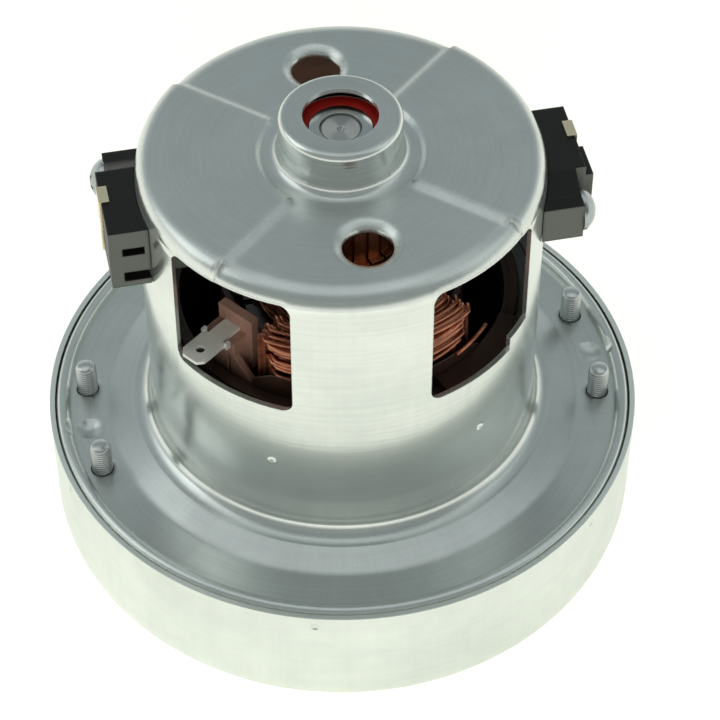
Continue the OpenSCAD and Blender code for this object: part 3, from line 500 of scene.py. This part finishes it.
def shaded(tint, share):
    """A colour made darker or paler."""
    return tuple(c * share for c in tint)


def start_material(name):
    """Empty material with its shader, wiring and object coordinates."""
    material = bpy.data.materials.new(name)
    material.use_nodes = True
    w = Wiring(material.node_tree)
    shader = material.node_tree.nodes["Principled BSDF"]
    place = w.node("ShaderNodeTexCoord").outputs["Object"]
    return material, w, shader, place


def metal(name, light, dark, rough=(0.25, 0.4), marks=(80.0, 1500.0, 70.0), upright=0.3, rings=0.3,
          lift=0.006 * MM, edge=0.3 * MM, edge_tint=(0.86, 0.87, 0.85), brushed=0.0, worn=0.6, crown=None,
          flat=0.0, rolled=None, bare=1.0):
    """Bare or plated metal with drawn, turned or rolled marks and worn edges.

    marks holds the scales of the upright marks, the rings and the cloud. crown holds the height where
    the top starts, the radius of the boss and the rounding there. flat is the added roughness of level
    faces, which also take the darker, bluer rolled colour as painted shade.
    """
    material, w, shader, place = start_material(name)
    marked = w.group(shared("round_marks"), Place=place, Upright=marks[0], Rings=marks[1], Cloud=marks[2])
    bands = None
    if crown:
        top = w.group(shared("crown"), Place=place, Low=crown[0], Inner=crown[1], Base=edge, Top=crown[2])
        edge, bands = top.outputs["Radius"], top.outputs["Bands"]
    soft = w.group(shared("soft_edge"), Radius=edge, Gain=6.0)
    cloud = w.span(marked.outputs["Cloud"], 0.3, 0.7)
    streak = w.math(
        "ADD",
        w.math("MULTIPLY", marked.outputs["Upright"], upright),
        w.math("MULTIPLY", marked.outputs["Rings"], rings),
    )
    uneven = w.math("SUBTRACT", streak, (upright + rings) / 2)
    share = w.math("ADD", w.math("MULTIPLY", cloud, 0.5), uneven, clamp=True)
    if bands:
        share = w.math("ADD", share, bands, clamp=True)
        streak = w.math("ADD", streak, w.math("MULTIPLY", bands, 1.5))
    body = w.mix(share, light, dark)
    body = w.mix(w.math("MULTIPLY", soft.outputs["Edge"], worn), body, edge_tint)
    wear = w.math("ADD", w.math("MULTIPLY", cloud, 0.5), w.math("MULTIPLY", streak, 0.8), clamp=True)
    dull = w.span(wear, 0.0, 1.0, rough[0], rough[1])
    if flat:
        facing = w.node("ShaderNodeTexCoord").outputs["Normal"]
        level = w.group(shared("facing"), Facing=facing, Axis=(0, 0, 1), From=0.7, To=0.95).outputs["Mask"]
        dull = w.math("ADD", dull, w.math("MULTIPLY", level, flat))
        # Painted shade: level faces turn to the darker, bluer rolled colour, mottled like the rest
        painted_level_shade = w.mix(share, rolled, shaded(rolled, 0.74))
        body = w.mix(w.math("MULTIPLY", level, 0.85), body, painted_level_shade)
    w.link(body, shader.inputs["Base Color"])
    w.link(dull, shader.inputs["Roughness"])
    shader.inputs["Metallic"].default_value = bare
    if brushed:
        shader.inputs["Anisotropic"].default_value = brushed
        tangent = w.node("ShaderNodeTangent", direction_type="RADIAL", axis="Z")
        w.link(tangent.outputs[0], shader.inputs["Tangent"])
    w.link(w.bump(streak, 0.5, lift, soft.outputs["Normal"]), shader.inputs["Normal"])
    return material


def plastic(name, tint, rough=(0.32, 0.5), grain=2600.0, lift=0.02 * MM, edge=0.3 * MM, lighter=1.6,
            ends=None, gloss=0.5):
    """Moulded plastic or rubber with fine grain and slightly paler edges, and end faces in another colour, a
    painted light where light falls on them.
    """
    material, w, shader, place = start_material(name)
    grained = w.group(shared("grain"), Place=place, Fine=grain, Broad=140.0)
    soft = w.group(shared("soft_edge"), Radius=edge, Gain=5.0)
    pale = tuple(min(1.0, c * lighter + 0.004) for c in tint)
    body = w.mix(w.span(grained.outputs["Broad"], 0.3, 0.7), shaded(tint, 0.72), tint)
    specks = w.span(grained.outputs["Fine"], 0.45, 0.75)
    body = w.mix(w.math("MULTIPLY", specks, 0.35), body, pale)
    body = w.mix(w.math("MULTIPLY", soft.outputs["Edge"], 0.5), body, pale)
    # Painted light: the faces that look along y, the ends, take the paler ends colour
    if ends:
        facing = w.node("ShaderNodeTexCoord").outputs["Normal"]
        share = w.group(shared("facing"), Facing=facing, Axis=(0, 1, 0), From=0.9, To=0.98).outputs["Mask"]
        body = w.mix(share, body, ends)
    w.link(body, shader.inputs["Base Color"])
    dull = w.span(grained.outputs["Broad"], 0.25, 0.75, rough[0], rough[1])
    w.link(dull, shader.inputs["Roughness"])
    shader.inputs["Specular IOR Level"].default_value = gloss
    w.link(w.bump(grained.outputs["Fine"], 0.4, lift, soft.outputs["Normal"]), shader.inputs["Normal"])
    return material


def enamelled(name, light, dark, rough=(0.22, 0.38)):
    """Enamelled copper wire, with random patches and specks of the darker, redder colour of its shaded side,
    a painted shade.
    """
    material, w, shader, place = start_material(name)
    grained = w.group(shared("grain"), Place=place, Fine=900.0, Broad=260.0)
    # Painted shade: random patches and specks in the colour of the wire's shaded side
    body = w.mix(w.span(grained.outputs["Broad"], 0.35, 0.7), light, dark)
    specks = w.span(grained.outputs["Fine"], 0.4, 0.7)
    body = w.mix(w.math("MULTIPLY", specks, 0.35), body, dark)
    w.link(body, shader.inputs["Base Color"])
    dull = w.span(grained.outputs["Fine"], 0.2, 0.8, rough[0], rough[1])
    w.link(dull, shader.inputs["Roughness"])
    shader.inputs["Metallic"].default_value = 0.7
    shader.inputs["Coat Weight"].default_value = 0.35
    shader.inputs["Coat Roughness"].default_value = 0.15
    w.link(w.bump(grained.outputs["Fine"], 0.25, 0.03 * MM), shader.inputs["Normal"])
    return material


def laminated(name, tint, pitch=0.5 * MM):
    """Stack of thin steel sheets, seen as fine lines across its side."""
    material, w, shader, place = start_material(name)
    split = w.node("ShaderNodeSeparateXYZ")
    w.link(place, split.inputs[0])
    wave = w.math("SINE", w.math("MULTIPLY", split.outputs[2], 2 * math.pi / pitch))
    line = w.span(wave, -1.0, 1.0)
    grained = w.group(shared("grain"), Place=place, Fine=1800.0, Broad=90.0)
    body = w.mix(line, shaded(tint, 0.55), tint)
    rust, rust_share = (0.16, 0.10, 0.07), w.span(grained.outputs["Broad"], 0.45, 0.75)
    body = w.mix(w.math("MULTIPLY", rust_share, 0.5), body, rust)
    w.link(body, shader.inputs["Base Color"])
    w.link(w.span(grained.outputs["Fine"], 0.2, 0.8, 0.35, 0.55), shader.inputs["Roughness"])
    shader.inputs["Metallic"].default_value = 0.9
    w.link(w.bump(line, 0.5, 0.04 * MM), shader.inputs["Normal"])
    return material


MADE = {}


def finish(name):
    """One of the motor's finishes, made once."""
    if name in MADE:
        return MADE[name]
    f = bpy.context.scene.motor_finish
    turned = (30.0, 2600.0, 160.0)
    finishes = {
        "drawn_zinc": (metal, dict(
            light=f.zinc, dark=f.zinc_dark, rough=(0.12, 0.21), marks=(85.0, 1300.0, 55.0),
            upright=0.4, rings=0.7, lift=0.02 * MM, brushed=0.25, worn=0.3,
            crown=(104.5 * MM, 14.6 * MM, 1.8 * MM), flat=0.14, rolled=f.rolled, bare=0.84)),
        "cover_zinc": (metal, dict(
            light=f.zinc, dark=f.zinc_dark, rough=(0.28, 0.44), marks=(60.0, 900.0, 45.0),
            upright=0.25, lift=0.008 * MM, brushed=0.2)),
        "pan_plate": (metal, dict(
            light=(0.46, 0.48, 0.49), dark=(0.33, 0.35, 0.36), rough=(0.22, 0.32), marks=turned,
            upright=0.1, rings=0.2, lift=0.003 * MM, edge=0.2 * MM)),
        "screw_plate": (metal, dict(
            light=(0.60, 0.62, 0.62), dark=(0.42, 0.44, 0.44), rough=(0.24, 0.38), marks=turned,
            upright=0.1, rings=0.35, edge=0.2 * MM)),
        "bright_plate": (metal, dict(
            light=f.bright, dark=(0.55, 0.56, 0.55), rough=(0.12, 0.24), marks=turned,
            upright=0.1, rings=0.35, edge=0.15 * MM)),
        "bearing_steel": (metal, dict(
            light=(0.66, 0.66, 0.64), dark=(0.48, 0.48, 0.47), rough=(0.10, 0.22),
            marks=(20.0, 4200.0, 200.0), upright=0.05, rings=0.5, lift=0.005 * MM, edge=0.12 * MM)),
        "ground_steel": (metal, dict(
            light=(0.62, 0.62, 0.60), dark=(0.42, 0.42, 0.41), rough=(0.30, 0.42),
            marks=(20.0, 3600.0, 180.0), upright=0.05, rings=0.6, lift=0.01 * MM,
            edge=0.15 * MM, brushed=0.9)),
        "rolled_brass": (metal, dict(
            light=f.brass, dark=shaded(f.brass, 0.72), rough=(0.22, 0.36), marks=(40.0, 1800.0, 150.0),
            upright=0.25, rings=0.25, edge=0.12 * MM, edge_tint=(0.92, 0.78, 0.50))),
        "tinned": (metal, dict(
            light=f.tin, dark=shaded(f.tin, 0.8), rough=(0.42, 0.55), marks=(40.0, 1400.0, 220.0),
            upright=0.2, rings=0.2, edge=0.18 * MM, edge_tint=(0.95, 0.95, 0.93), bare=0.35)),
        "fan_sheet": (metal, dict(
            light=f.aluminium, dark=shaded(f.aluminium, 0.74), rough=(0.25, 0.42),
            marks=(50.0, 1100.0, 60.0))),
        "copper_bar": (metal, dict(
            light=(0.60, 0.26, 0.14), dark=(0.20, 0.085, 0.055), rough=(0.22, 0.4),
            marks=(20.0, 3000.0, 240.0), upright=0.1, rings=0.6, lift=0.01 * MM,
            edge=0.12 * MM, edge_tint=(0.80, 0.42, 0.26))),
        "blued_steel": (metal, dict(
            light=(0.05, 0.05, 0.055), dark=(0.03, 0.03, 0.03), rough=(0.3, 0.45),
            marks=(20.0, 2600.0, 200.0), upright=0.1, rings=0.4, edge_tint=(0.2, 0.2, 0.2))),
        "spring_steel": (metal, dict(
            light=(0.50, 0.50, 0.48), dark=(0.30, 0.29, 0.28), rough=(0.2, 0.34),
            marks=(30.0, 1600.0, 260.0), upright=0.2, rings=0.2)),
        "black_plastic": (plastic, dict(
            tint=f.black, rough=(0.36, 0.52), grain=2400.0, lift=0.018 * MM, edge=0.9 * MM, lighter=1.8,
            ends=f.black_lit_ends, gloss=0.3)),
        "brown_plastic": (plastic, dict(tint=f.brown, rough=(0.34, 0.52), grain=1900.0, lighter=1.5)),
        "block_plastic": (plastic, dict(tint=f.block, rough=(0.36, 0.52), grain=1900.0, lighter=1.4)),
        "guide_plastic": (plastic, dict(tint=f.guide, rough=(0.38, 0.56), grain=1700.0, lift=0.03 * MM)),
        "hub_resin": (plastic, dict(
            tint=(0.055, 0.022, 0.014), rough=(0.3, 0.5), grain=1500.0, lift=0.03 * MM, edge=0.2 * MM)),
        "red_seal": (plastic, dict(
            tint=f.seal, rough=(0.36, 0.55), grain=1600.0, edge=0.2 * MM, lighter=1.35)),
        "eye_rubber": (plastic, dict(
            tint=(0.018, 0.018, 0.019), rough=(0.5, 0.7), grain=1500.0, lift=0.03 * MM, edge=0.2 * MM,
            lighter=1.7)),
        "brush_carbon": (plastic, dict(
            tint=f.carbon, rough=(0.42, 0.62), grain=3200.0, lift=0.03 * MM, edge=0.2 * MM, lighter=2.2)),
        "field_copper": (enamelled, dict(light=f.copper, dark=f.copper_dark)),
        "armature_copper": (enamelled, dict(light=shaded(f.copper, 0.8), dark=shaded(f.copper_dark, 0.7))),
        "stack_steel": (laminated, dict(tint=f.lamination)),
    }
    make, values = finishes[name]
    MADE[name] = make(name, **values)
    return MADE[name]


def dress(material, *names):
    """Gives carried-over CAD nodes a finish."""
    for name in names:
        mesh = NODES[name].data
        mesh.materials.clear()
        mesh.materials.append(finish(material))


# Armature: slots, commutator bars, and the radii that its end turns keep between
SLOTS, BARS = 12, 24
OUTER, INNER = 21.0 * MM, 7.4 * MM


# Operators


class MOTOR_OT_sheet_metal(bpy.types.Operator):
    """Finish of the fan cover, the motor frame and the inlet seal"""

    bl_idname = "motor.sheet_metal"
    bl_label = "Sheet Metal"

    def execute(self, context):
        dress("drawn_zinc", "motor_frame")
        dress("cover_zinc", "fan_cover")
        dress("eye_rubber", "eye_seal")
        return {"FINISHED"}


class MOTOR_OT_bearings(bpy.types.Operator):
    """Finish of both ball bearings and the bridge that holds the lower one"""

    bl_idname = "motor.bearings"
    bl_label = "Bearings and Bridge"

    def execute(self, context):
        for place in ("lower", "upper"):
            for part in ("outer", "inner", "balls"):
                dress("bearing_steel", place + "_bearing_" + part)
            dress("red_seal", place + "_bearing_seal")
        dress("blued_steel", "preload_washer")
        dress("fan_sheet", "bearing_bridge")
        dress("guide_plastic", "return_guide")
        return {"FINISHED"}


class MOTOR_OT_fan(bpy.types.Operator):
    """Finish of the fan wheel, its spacer, washer and nut"""

    bl_idname = "motor.fan"
    bl_label = "Fan Wheel"

    def execute(self, context):
        dress("fan_sheet", "fan_back_disc", "fan_vanes", "fan_front_disc")
        dress("bright_plate", "fan_washer", "fan_nut")
        dress("ground_steel", "fan_spacer")
        return {"FINISHED"}


class MOTOR_OT_rotor(bpy.types.Operator):
    """Shaft, armature stack and commutator, and the armature winding laid wire by wire"""

    bl_idname = "motor.rotor"
    bl_label = "Rotor"

    def execute(self, context):
        dress("ground_steel", "shaft")
        dress("stack_steel", "armature_core")
        dress("hub_resin", "commutator_hub")
        dress("copper_bar", "commutator_bars")
        self.wind(context.scene.motor_winding)
        return {"FINISHED"}

    def wind(self, sizes):
        """Lays the armature winding."""
        rng = random.Random(sizes.seed)
        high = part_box("armature_winding")[1]
        core_low, core_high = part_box("armature_core")
        wire = sizes.fine_wire / 2
        tubes = Tubes(6)
        self.upper_turns(tubes, wire, core_high.z, min(high.z, 81.6 * MM) - wire, rng)
        self.risers(tubes, wire)
        self.lower_turns(tubes, wire * 0.8, core_low.z)
        self.slot_wires(tubes, wire * 1.2, core_low.z - 0.4 * MM, core_high.z + 0.9 * MM)
        piece(
            "armature_turns", tubes.verts, tubes.faces, "rotor", finish("armature_copper"),
            ("armature_winding", "armature_wire"),
        )

    def upper_turns(self, tubes, wire, stack, roof, rng):
        """End turns above the stack, each five slots wide."""
        per_slot, rim, sweep = 11, OUTER - 2.2 * MM, 5 * 360.0 / SLOTS
        for slot in range(SLOTS):
            for turn in range(per_slot):
                share = (turn + 0.5) / per_slot
                first = 360.0 * slot / SLOTS + 3.0 * (share - 0.5)
                peak = min(stack + (1.6 + 12.0 * share) * MM + rng.uniform(-0.2, 0.2) * MM, roof)
                r_mid = OUTER - (OUTER - INNER) * (0.12 + 0.62 * share) + rng.uniform(-0.3, 0.3) * MM
                tubes.add(bow(first, sweep, rim, r_mid, stack + 0.5 * MM, peak, 14, 0.7), wire)

    def risers(self, tubes, wire):
        """Wire ends that rise to the commutator bars."""
        for bar in range(BARS):
            a = 360.0 * (bar + 0.5) / BARS
            steps = ((13.2, 0.0, 86.0), (13.9, 1.5, 84.2), (14.6, 5.0, 82.2), (15.6, 9.0, 80.4))
            tubes.add([polar(r * MM, a + turn, z * MM) for r, turn, z in steps], wire)

    def lower_turns(self, tubes, wire, stack):
        """End turns below the stack."""
        per_slot, rim, sweep = 7, OUTER - 2.4 * MM, 150.0
        for slot in range(SLOTS):
            for turn in range(per_slot):
                share = (turn + 0.5) / per_slot
                peak = stack - (0.6 + 1.7 * share) * MM
                r_mid = OUTER - (OUTER - INNER) * (0.2 + 0.6 * share)
                first = 360.0 * slot / SLOTS
                tubes.add(bow(first, sweep, rim, r_mid, stack - 0.3 * MM, peak, 12, 1.0), wire)

    def slot_wires(self, tubes, wire, low, high):
        """Bundle of straight wires in each slot."""
        per_slot, bundle = 7, 1.55 * MM
        for slot in range(SLOTS):
            centre = polar(17.9 * MM, 360.0 * slot / SLOTS, 0)
            for k in range(per_slot):
                spot = centre + polar(bundle, 360.0 * k / per_slot, 0)
                tubes.add([spot + Vector((0, 0, low)), spot + Vector((0, 0, high))], wire)


class MOTOR_OT_field(bpy.types.Operator):
    """Field stack and insulators, and both field coils laid wire by wire"""

    bl_idname = "motor.field"
    bl_label = "Field"

    def execute(self, context):
        dress("stack_steel", "field_stack")
        dress("brown_plastic", "field_insulator_top", "field_insulator_low")
        for side, middle in (("front", -90.0), ("back", 90.0)):
            self.wind(context.scene.motor_winding, side, middle)
            self.liner(side, middle)
        return {"FINISHED"}

    def liner(self, side, middle):
        """Bobbin wall that hides the legs of a coil below its end turns."""
        inner, outer, low, high = 35.75 * MM, 36.1 * MM, 67.4 * MM, 73.6 * MM
        half, ramp, drop, chamfer = 43.5, 0.18, 3.2 * MM, 0.2 * MM
        steps = 36
        verts = []
        for k in range(steps + 1):
            t = 2 * k / steps - 1
            top = high - drop * max(0.0, abs(t) - (1 - ramp)) / ramp
            edge = top - chamfer
            section = ((inner, low), (outer, low), (outer, edge), ((inner + outer) / 2, top), (inner, edge))
            verts += [polar(r, middle + half * t, z) for r, z in section]
        sides = len(section)
        faces = skin(steps + 1, sides, outward=False)
        faces.append(tuple(range(sides)))
        faces.append(tuple(sides * steps + i for i in reversed(range(sides))))
        piece(
            "coil_liner_" + side, verts, faces, "housing", finish("brown_plastic"),
            smooth=False,
        )

    def wind(self, sizes, side, middle):
        """Lays one field coil, loose above the stack, and its lead."""
        rng = random.Random(sizes.seed + len(side))
        wire = sizes.wire / 2
        tubes = Tubes(7)
        r_low, r_high = 28.7 * MM, 34.9 * MM
        r_least, r_most = 26.4 * MM, 35.6 * MM
        stack, clear = 66.0 * MM, 6.0 * MM
        bend, inwards = 0.14, 3.2 * MM
        for layer in range(sizes.layers):
            r = r_low + (r_high - r_low) * layer / (sizes.layers - 1)
            for turn in range(sizes.turns):
                share = turn / (sizes.turns - 1)
                half = 40.5 + 3.4 * share + rng.uniform(-1.2, 1.2)
                legs = (31.5 + 9.6 * share) / half
                top = (73.8 + 8.8 * share) * MM + rng.uniform(-0.4, 0.4) * MM
                low = (36.4 - 1.3 * share) * MM
                phase = rng.uniform(0, 6.28)
                wave = rng.uniform(0.5, 1.0) * sizes.loose
                lean = rng.uniform(-0.6, 0.6) * sizes.loose
                line = []
                for a, z in round_turn(half, low, top):
                    u = a / half
                    over = min(1.0, max(0.0, (z - stack) / clear))
                    z += over * wave * math.sin(3 * u + phase) * 0.7
                    dive = max(0.0, abs(u) - (1 - bend)) / bend
                    stray = wave * math.sin(2.3 * u + 1.7 * phase) + lean - inwards * dive
                    away = min(max(r + over * stray, r_least), r_most)
                    line.append(polar(away, middle + a * (legs + (1 - legs) * over), z))
                tubes.add(line, wire, closed=True)
        lead = [polar(36.4 * MM, middle + 31 + k, (73.3 + 0.07 * k) * MM) for k in range(0, 17, 2)]
        tubes.add(lead, wire)
        piece(
            "field_turns_" + side, tubes.verts, tubes.faces, "housing", finish("field_copper"),
            ("field_coil_" + side,),
        )


class MOTOR_OT_terminals(bpy.types.Operator):
    """Finish of the terminal blocks and tabs"""

    bl_idname = "motor.terminals"
    bl_label = "Terminals"

    def execute(self, context):
        for side in ("left", "right"):
            dress("block_plastic", "terminal_block_" + side)
            dress("tinned", "terminal_tab_" + side)
        return {"FINISHED"}


class MOTOR_OT_brush_gear(bpy.types.Operator):
    """Finish of the brush holders, tubes, brushes and clips, and the coiled brush springs"""

    bl_idname = "motor.brush_gear"
    bl_label = "Brush Gear"

    def execute(self, context):
        for side, way in (("left", -1), ("right", 1)):
            dress("black_plastic", "brush_holder_" + side)
            dress("rolled_brass", "brush_tube_" + side, "brush_clip_" + side)
            dress("brush_carbon", "carbon_brush_" + side)
            dress("pan_plate", "holder_screw_" + side)
            self.coil(context.scene.motor_winding, side, way)
        return {"FINISHED"}

    def coil(self, sizes, side, way):
        """Coiled brush spring laid in the place of the spring part."""
        low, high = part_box("brush_spring_" + side)
        near, far = (low.x, high.x) if way > 0 else (high.x, low.x)
        wire = sizes.spring_wire / 2
        middle = (low.z + high.z) / 2
        radius = (high.z - low.z) / 2 - wire
        coils, steps = 6, 28
        line = []
        for k in range(coils * steps + 1):
            t = k / (coils * steps)
            a = 2 * math.pi * k / steps
            x = near + way * wire + (far - near - 2 * way * wire) * t
            line.append((x, radius * math.cos(a), middle + radius * math.sin(a)))
        tubes = Tubes(8)
        tubes.add(line, wire)
        spring = piece(
            "brush_coil_" + side, tubes.verts, tubes.faces, "housing", finish("spring_steel"),
            ("brush_spring_" + side,),
        )
        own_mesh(spring)


class MOTOR_OT_screws(bpy.types.Operator):
    """Bridge screws with cut threads and pressed heads"""

    bl_idname = "motor.screws"
    bl_label = "Bridge Screws"

    def execute(self, context):
        sizes = context.scene.motor_hardware
        low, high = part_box("bridge_screws")
        verts, faces = [], []
        for start in (0, 180):
            for side in (-12, 12):
                centre = polar(59.0 * MM, start + side, 0)
                self.screw(verts, faces, centre, low.z, high.z, sizes)
        piece(
            "threaded_screws", verts, faces, "housing", finish("screw_plate"), ("bridge_screws",),
        )
        return {"FINISHED"}

    def screw(self, verts, faces, centre, low, high, sizes):
        """Adds one screw, from its head below to its chamfered tip."""
        around, per_pitch = 28, 6
        radius, head = 2.4 * MM, 2.4 * MM
        top = high - low
        profile = (
            (0.0, 0.7), (1.2, 0.7), (1.9, 0.0), (3.8, 0.0), (4.3, 0.5), (4.3, 2.0), (4.15, 2.4), (2.4, 2.4)
        )
        rows = [[(r * MM, z * MM)] * around for r, z in profile]
        z = head + 0.3 * MM
        while z < top - 0.75 * MM:
            row = []
            for k in range(around):
                turn = (z / sizes.pitch - k / around) % 1.0
                dip = 1 - abs(2 * turn - 1)
                row.append((radius - sizes.depth * min(1.0, 1.5 * dip), z))
            rows.append(row)
            z += sizes.pitch / per_pitch
        tip = ((2.15, 0.6), (1.95, 0.15), (1.78, 0.0), (0.0, 0.0))
        rows += [[(r * MM, top - below * MM)] * around for r, below in tip]
        base = len(verts)
        for row in rows:
            for k, (r, z) in enumerate(row):
                verts.append(centre + polar(r, 360.0 * k / around, low + z))
        faces += skin(len(rows), around, base)


class MOTOR_OT_stage(bpy.types.Operator):
    """White floor, soft light and the camera"""

    bl_idname = "motor.stage"
    bl_label = "Stage"

    def execute(self, context):
        sizes = context.scene.motor_stage
        self.floor(sizes)
        self.world(context)
        self.lamps()
        self.camera(context, sizes)
        context.scene.view_settings.view_transform = "Standard"
        return {"FINISHED"}

    def floor(self, sizes):
        """White floor, round and just below the motor."""
        rings, around, level = (0.15, 0.4, 1.0, 3.0), 48, -0.2 * MM
        verts = [polar(r, 360.0 * k / around, level) for r in rings for k in range(around)]
        faces = [tuple(range(around))] + skin(len(rings), around, outward=False)
        mesh = bpy.data.meshes.new("floor")
        mesh.from_pydata(verts, [], faces)
        obj = bpy.data.objects.new("floor", mesh)
        bpy.context.scene.collection.objects.link(obj)
        material = bpy.data.materials.new("white_floor")
        material.use_nodes = True
        w = Wiring(material.node_tree)
        shader = material.node_tree.nodes["Principled BSDF"]
        place = w.node("ShaderNodeTexCoord").outputs["Object"]
        grained = w.group(shared("grain"), Place=place, Fine=300.0, Broad=4.0)
        w.link(
            w.mix(grained.outputs["Broad"], sizes.floor, shaded(sizes.floor, 1.02)),
            shader.inputs["Base Color"],
        )
        shader.inputs["Roughness"].default_value = 0.7
        shader.inputs["Specular IOR Level"].default_value = 0.2
        camera, seen = w.ray_masks()
        shader.inputs["Emission Color"].default_value = (1, 1, 0.89, 1)
        glow = w.math("ADD", w.math("MULTIPLY", seen, 0.52), w.math("MULTIPLY", camera, 0.12))
        w.link(glow, shader.inputs["Emission Strength"])
        mesh.materials.append(material)

    def world(self, context):
        """Soft surroundings: white low down, dark in front and pale overhead."""
        away, overhead = (0.194, 0.981, 0.0), (0.034, 0.170, 0.985)
        world = bpy.data.worlds.new("studio")
        context.scene.world = world
        world.use_nodes = True
        w = Wiring(world.node_tree)
        back = world.node_tree.nodes["Background"]
        place = w.node("ShaderNodeTexCoord").outputs["Generated"]
        split = w.node("ShaderNodeSeparateXYZ")
        w.link(place, split.inputs[0])
        behind = w.vector("DOT_PRODUCT", place, away)
        shades = []
        for stops in (
            ((0.0, (1.0, 1.0, 0.95)), (0.20, (0.97, 0.98, 0.94)), (0.42, (0.40, 0.46, 0.47)),
             (0.74, (0.25, 0.305, 0.315)), (1.0, (0.25, 0.305, 0.315))),
            ((0.0, (1.0, 1.0, 0.95)), (0.10, (0.90, 0.91, 0.88)), (0.30, (0.21, 0.235, 0.235)),
             (0.74, (0.22, 0.25, 0.25)), (1.0, (0.25, 0.305, 0.315))),
        ):
            ramp = w.node("ShaderNodeValToRGB")
            while len(ramp.color_ramp.elements) < len(stops):
                ramp.color_ramp.elements.new(0.5)
            for element, (where, tint) in zip(ramp.color_ramp.elements, stops):
                element.position = where
                element.color = (*tint, 1)
            w.link(split.outputs[2], ramp.inputs[0])
            shades.append(ramp.outputs[0])
        front = w.span(behind, -0.15, -0.55)
        dome = w.mix(front, shades[0], shades[1])
        glow = w.span(w.vector("DOT_PRODUCT", place, overhead), 0.848, 0.990)
        w.link(w.mix(glow, dome, (0.66, 0.71, 0.71)), back.inputs["Color"])
        seen = w.ray_masks()[1]
        w.link(w.span(seen, 0.0, 1.0, 0.75, 1.0), back.inputs["Strength"])

    def lamps(self):
        """Soft boxes, each with its place, size, watts and colour."""
        for name, where, size, watts, tint in (
            ("left_box", (-0.90, 0.30, 1.02), (0.80, 0.80), 2.2, (1.0, 1.0, 0.98)),
            ("right_box", (0.86, -0.17, 1.10), (0.80, 0.80), 0.8, (1.0, 1.0, 0.98)),
            ("top_box", (0.05, 0.24, 1.38), (1.20, 1.20), 0.8, (1.0, 1.0, 0.98)),
            ("front_box", (-0.21, -1.00, 0.42), (0.90, 0.50), 4.0, (1.0, 1.0, 0.97)),
        ):
            lamp = bpy.data.lights.new(name, "AREA")
            lamp.shape = "RECTANGLE"
            lamp.size, lamp.size_y = size
            lamp.energy = watts
            lamp.color = tint
            obj = bpy.data.objects.new(name, lamp)
            bpy.context.scene.collection.objects.link(obj)
            obj.location = where
            aim = Vector((0, 0, 0.05)) - Vector(where)
            obj.rotation_mode = "QUATERNION"
            obj.rotation_quaternion = aim.to_track_quat("-Z", "Y")
            # The front lamp only lights the inside of the windows and leaves no highlight
            obj.visible_glossy = name != "front_box"

    def camera(self, context, sizes):
        """Camera at the angle of the photograph."""
        data = bpy.data.cameras.new("view")
        data.sensor_width = 36.0
        data.lens = sizes.lens
        data.clip_start, data.clip_end = 0.01, 20.0
        obj = bpy.data.objects.new("view", data)
        context.scene.collection.objects.link(obj)
        e, y, r = sizes.rise, sizes.yaw, sizes.roll
        place = Vector((0, -sizes.distance * math.cos(e), sizes.aim + sizes.distance * math.sin(e)))
        ahead = Vector((0, math.cos(e), -math.sin(e)))
        right = Vector((1, 0, 0))
        up = right.cross(ahead)
        ahead, right = (
            ahead * math.cos(y) + right * math.sin(y), right * math.cos(y) - ahead * math.sin(y)
        )
        right, up = right * math.cos(r) + up * math.sin(r), up * math.cos(r) - right * math.sin(r)
        frame_of_view = Matrix((right, up, -ahead)).transposed().to_4x4()
        frame_of_view.translation = place
        obj.matrix_world = Matrix.Rotation(-sizes.turn, 4, "Z") @ frame_of_view
        context.scene.camera = obj


OPERATORS = (
    MOTOR_OT_sheet_metal, MOTOR_OT_bearings, MOTOR_OT_fan, MOTOR_OT_rotor, MOTOR_OT_field, MOTOR_OT_terminals,
    MOTOR_OT_brush_gear, MOTOR_OT_screws, MOTOR_OT_stage,
)


class MOTOR_PT_looks(bpy.types.Panel):
    """Steps that dress the motor"""

    bl_idname = "MOTOR_PT_looks"
    bl_label = "Motor Looks"
    bl_space_type = "VIEW_3D"
    bl_region_type = "UI"
    bl_category = "Motor"

    def draw(self, context):
        for step in OPERATORS:
            self.layout.operator(step.bl_idname)
        for settings in (
            context.scene.motor_finish, context.scene.motor_winding, context.scene.motor_hardware,
            context.scene.motor_stage,
        ):
            box = self.layout.box()
            for name in settings.bl_rna.properties.keys():
                if name not in ("rna_type", "name"):
                    box.prop(settings, name)


SETTINGS = (
    ("motor_finish", MotorFinish), ("motor_winding", MotorWinding), ("motor_hardware", MotorHardware),
    ("motor_stage", MotorStage),
)


def register():
    for name, kind in SETTINGS:
        bpy.utils.register_class(kind)
        setattr(bpy.types.Scene, name, PointerProperty(type=kind))
    for kind in (*OPERATORS, MOTOR_PT_looks):
        bpy.utils.register_class(kind)


def unregister():
    for kind in reversed((*OPERATORS, MOTOR_PT_looks)):
        bpy.utils.unregister_class(kind)
    for name, kind in reversed(SETTINGS):
        delattr(bpy.types.Scene, name)
        bpy.utils.unregister_class(kind)


def main():
    register()
    for old in [obj for obj in bpy.data.objects if obj.type in ("CAMERA", "LIGHT")]:
        bpy.data.objects.remove(old)
    bpy.ops.motor.sheet_metal()
    bpy.ops.motor.bearings()
    bpy.ops.motor.fan()
    bpy.ops.motor.rotor()
    bpy.ops.motor.field()
    bpy.ops.motor.terminals()
    bpy.ops.motor.brush_gear()
    bpy.ops.motor.screws()
    bpy.ops.motor.stage()


if __name__ == "__main__":
    main()
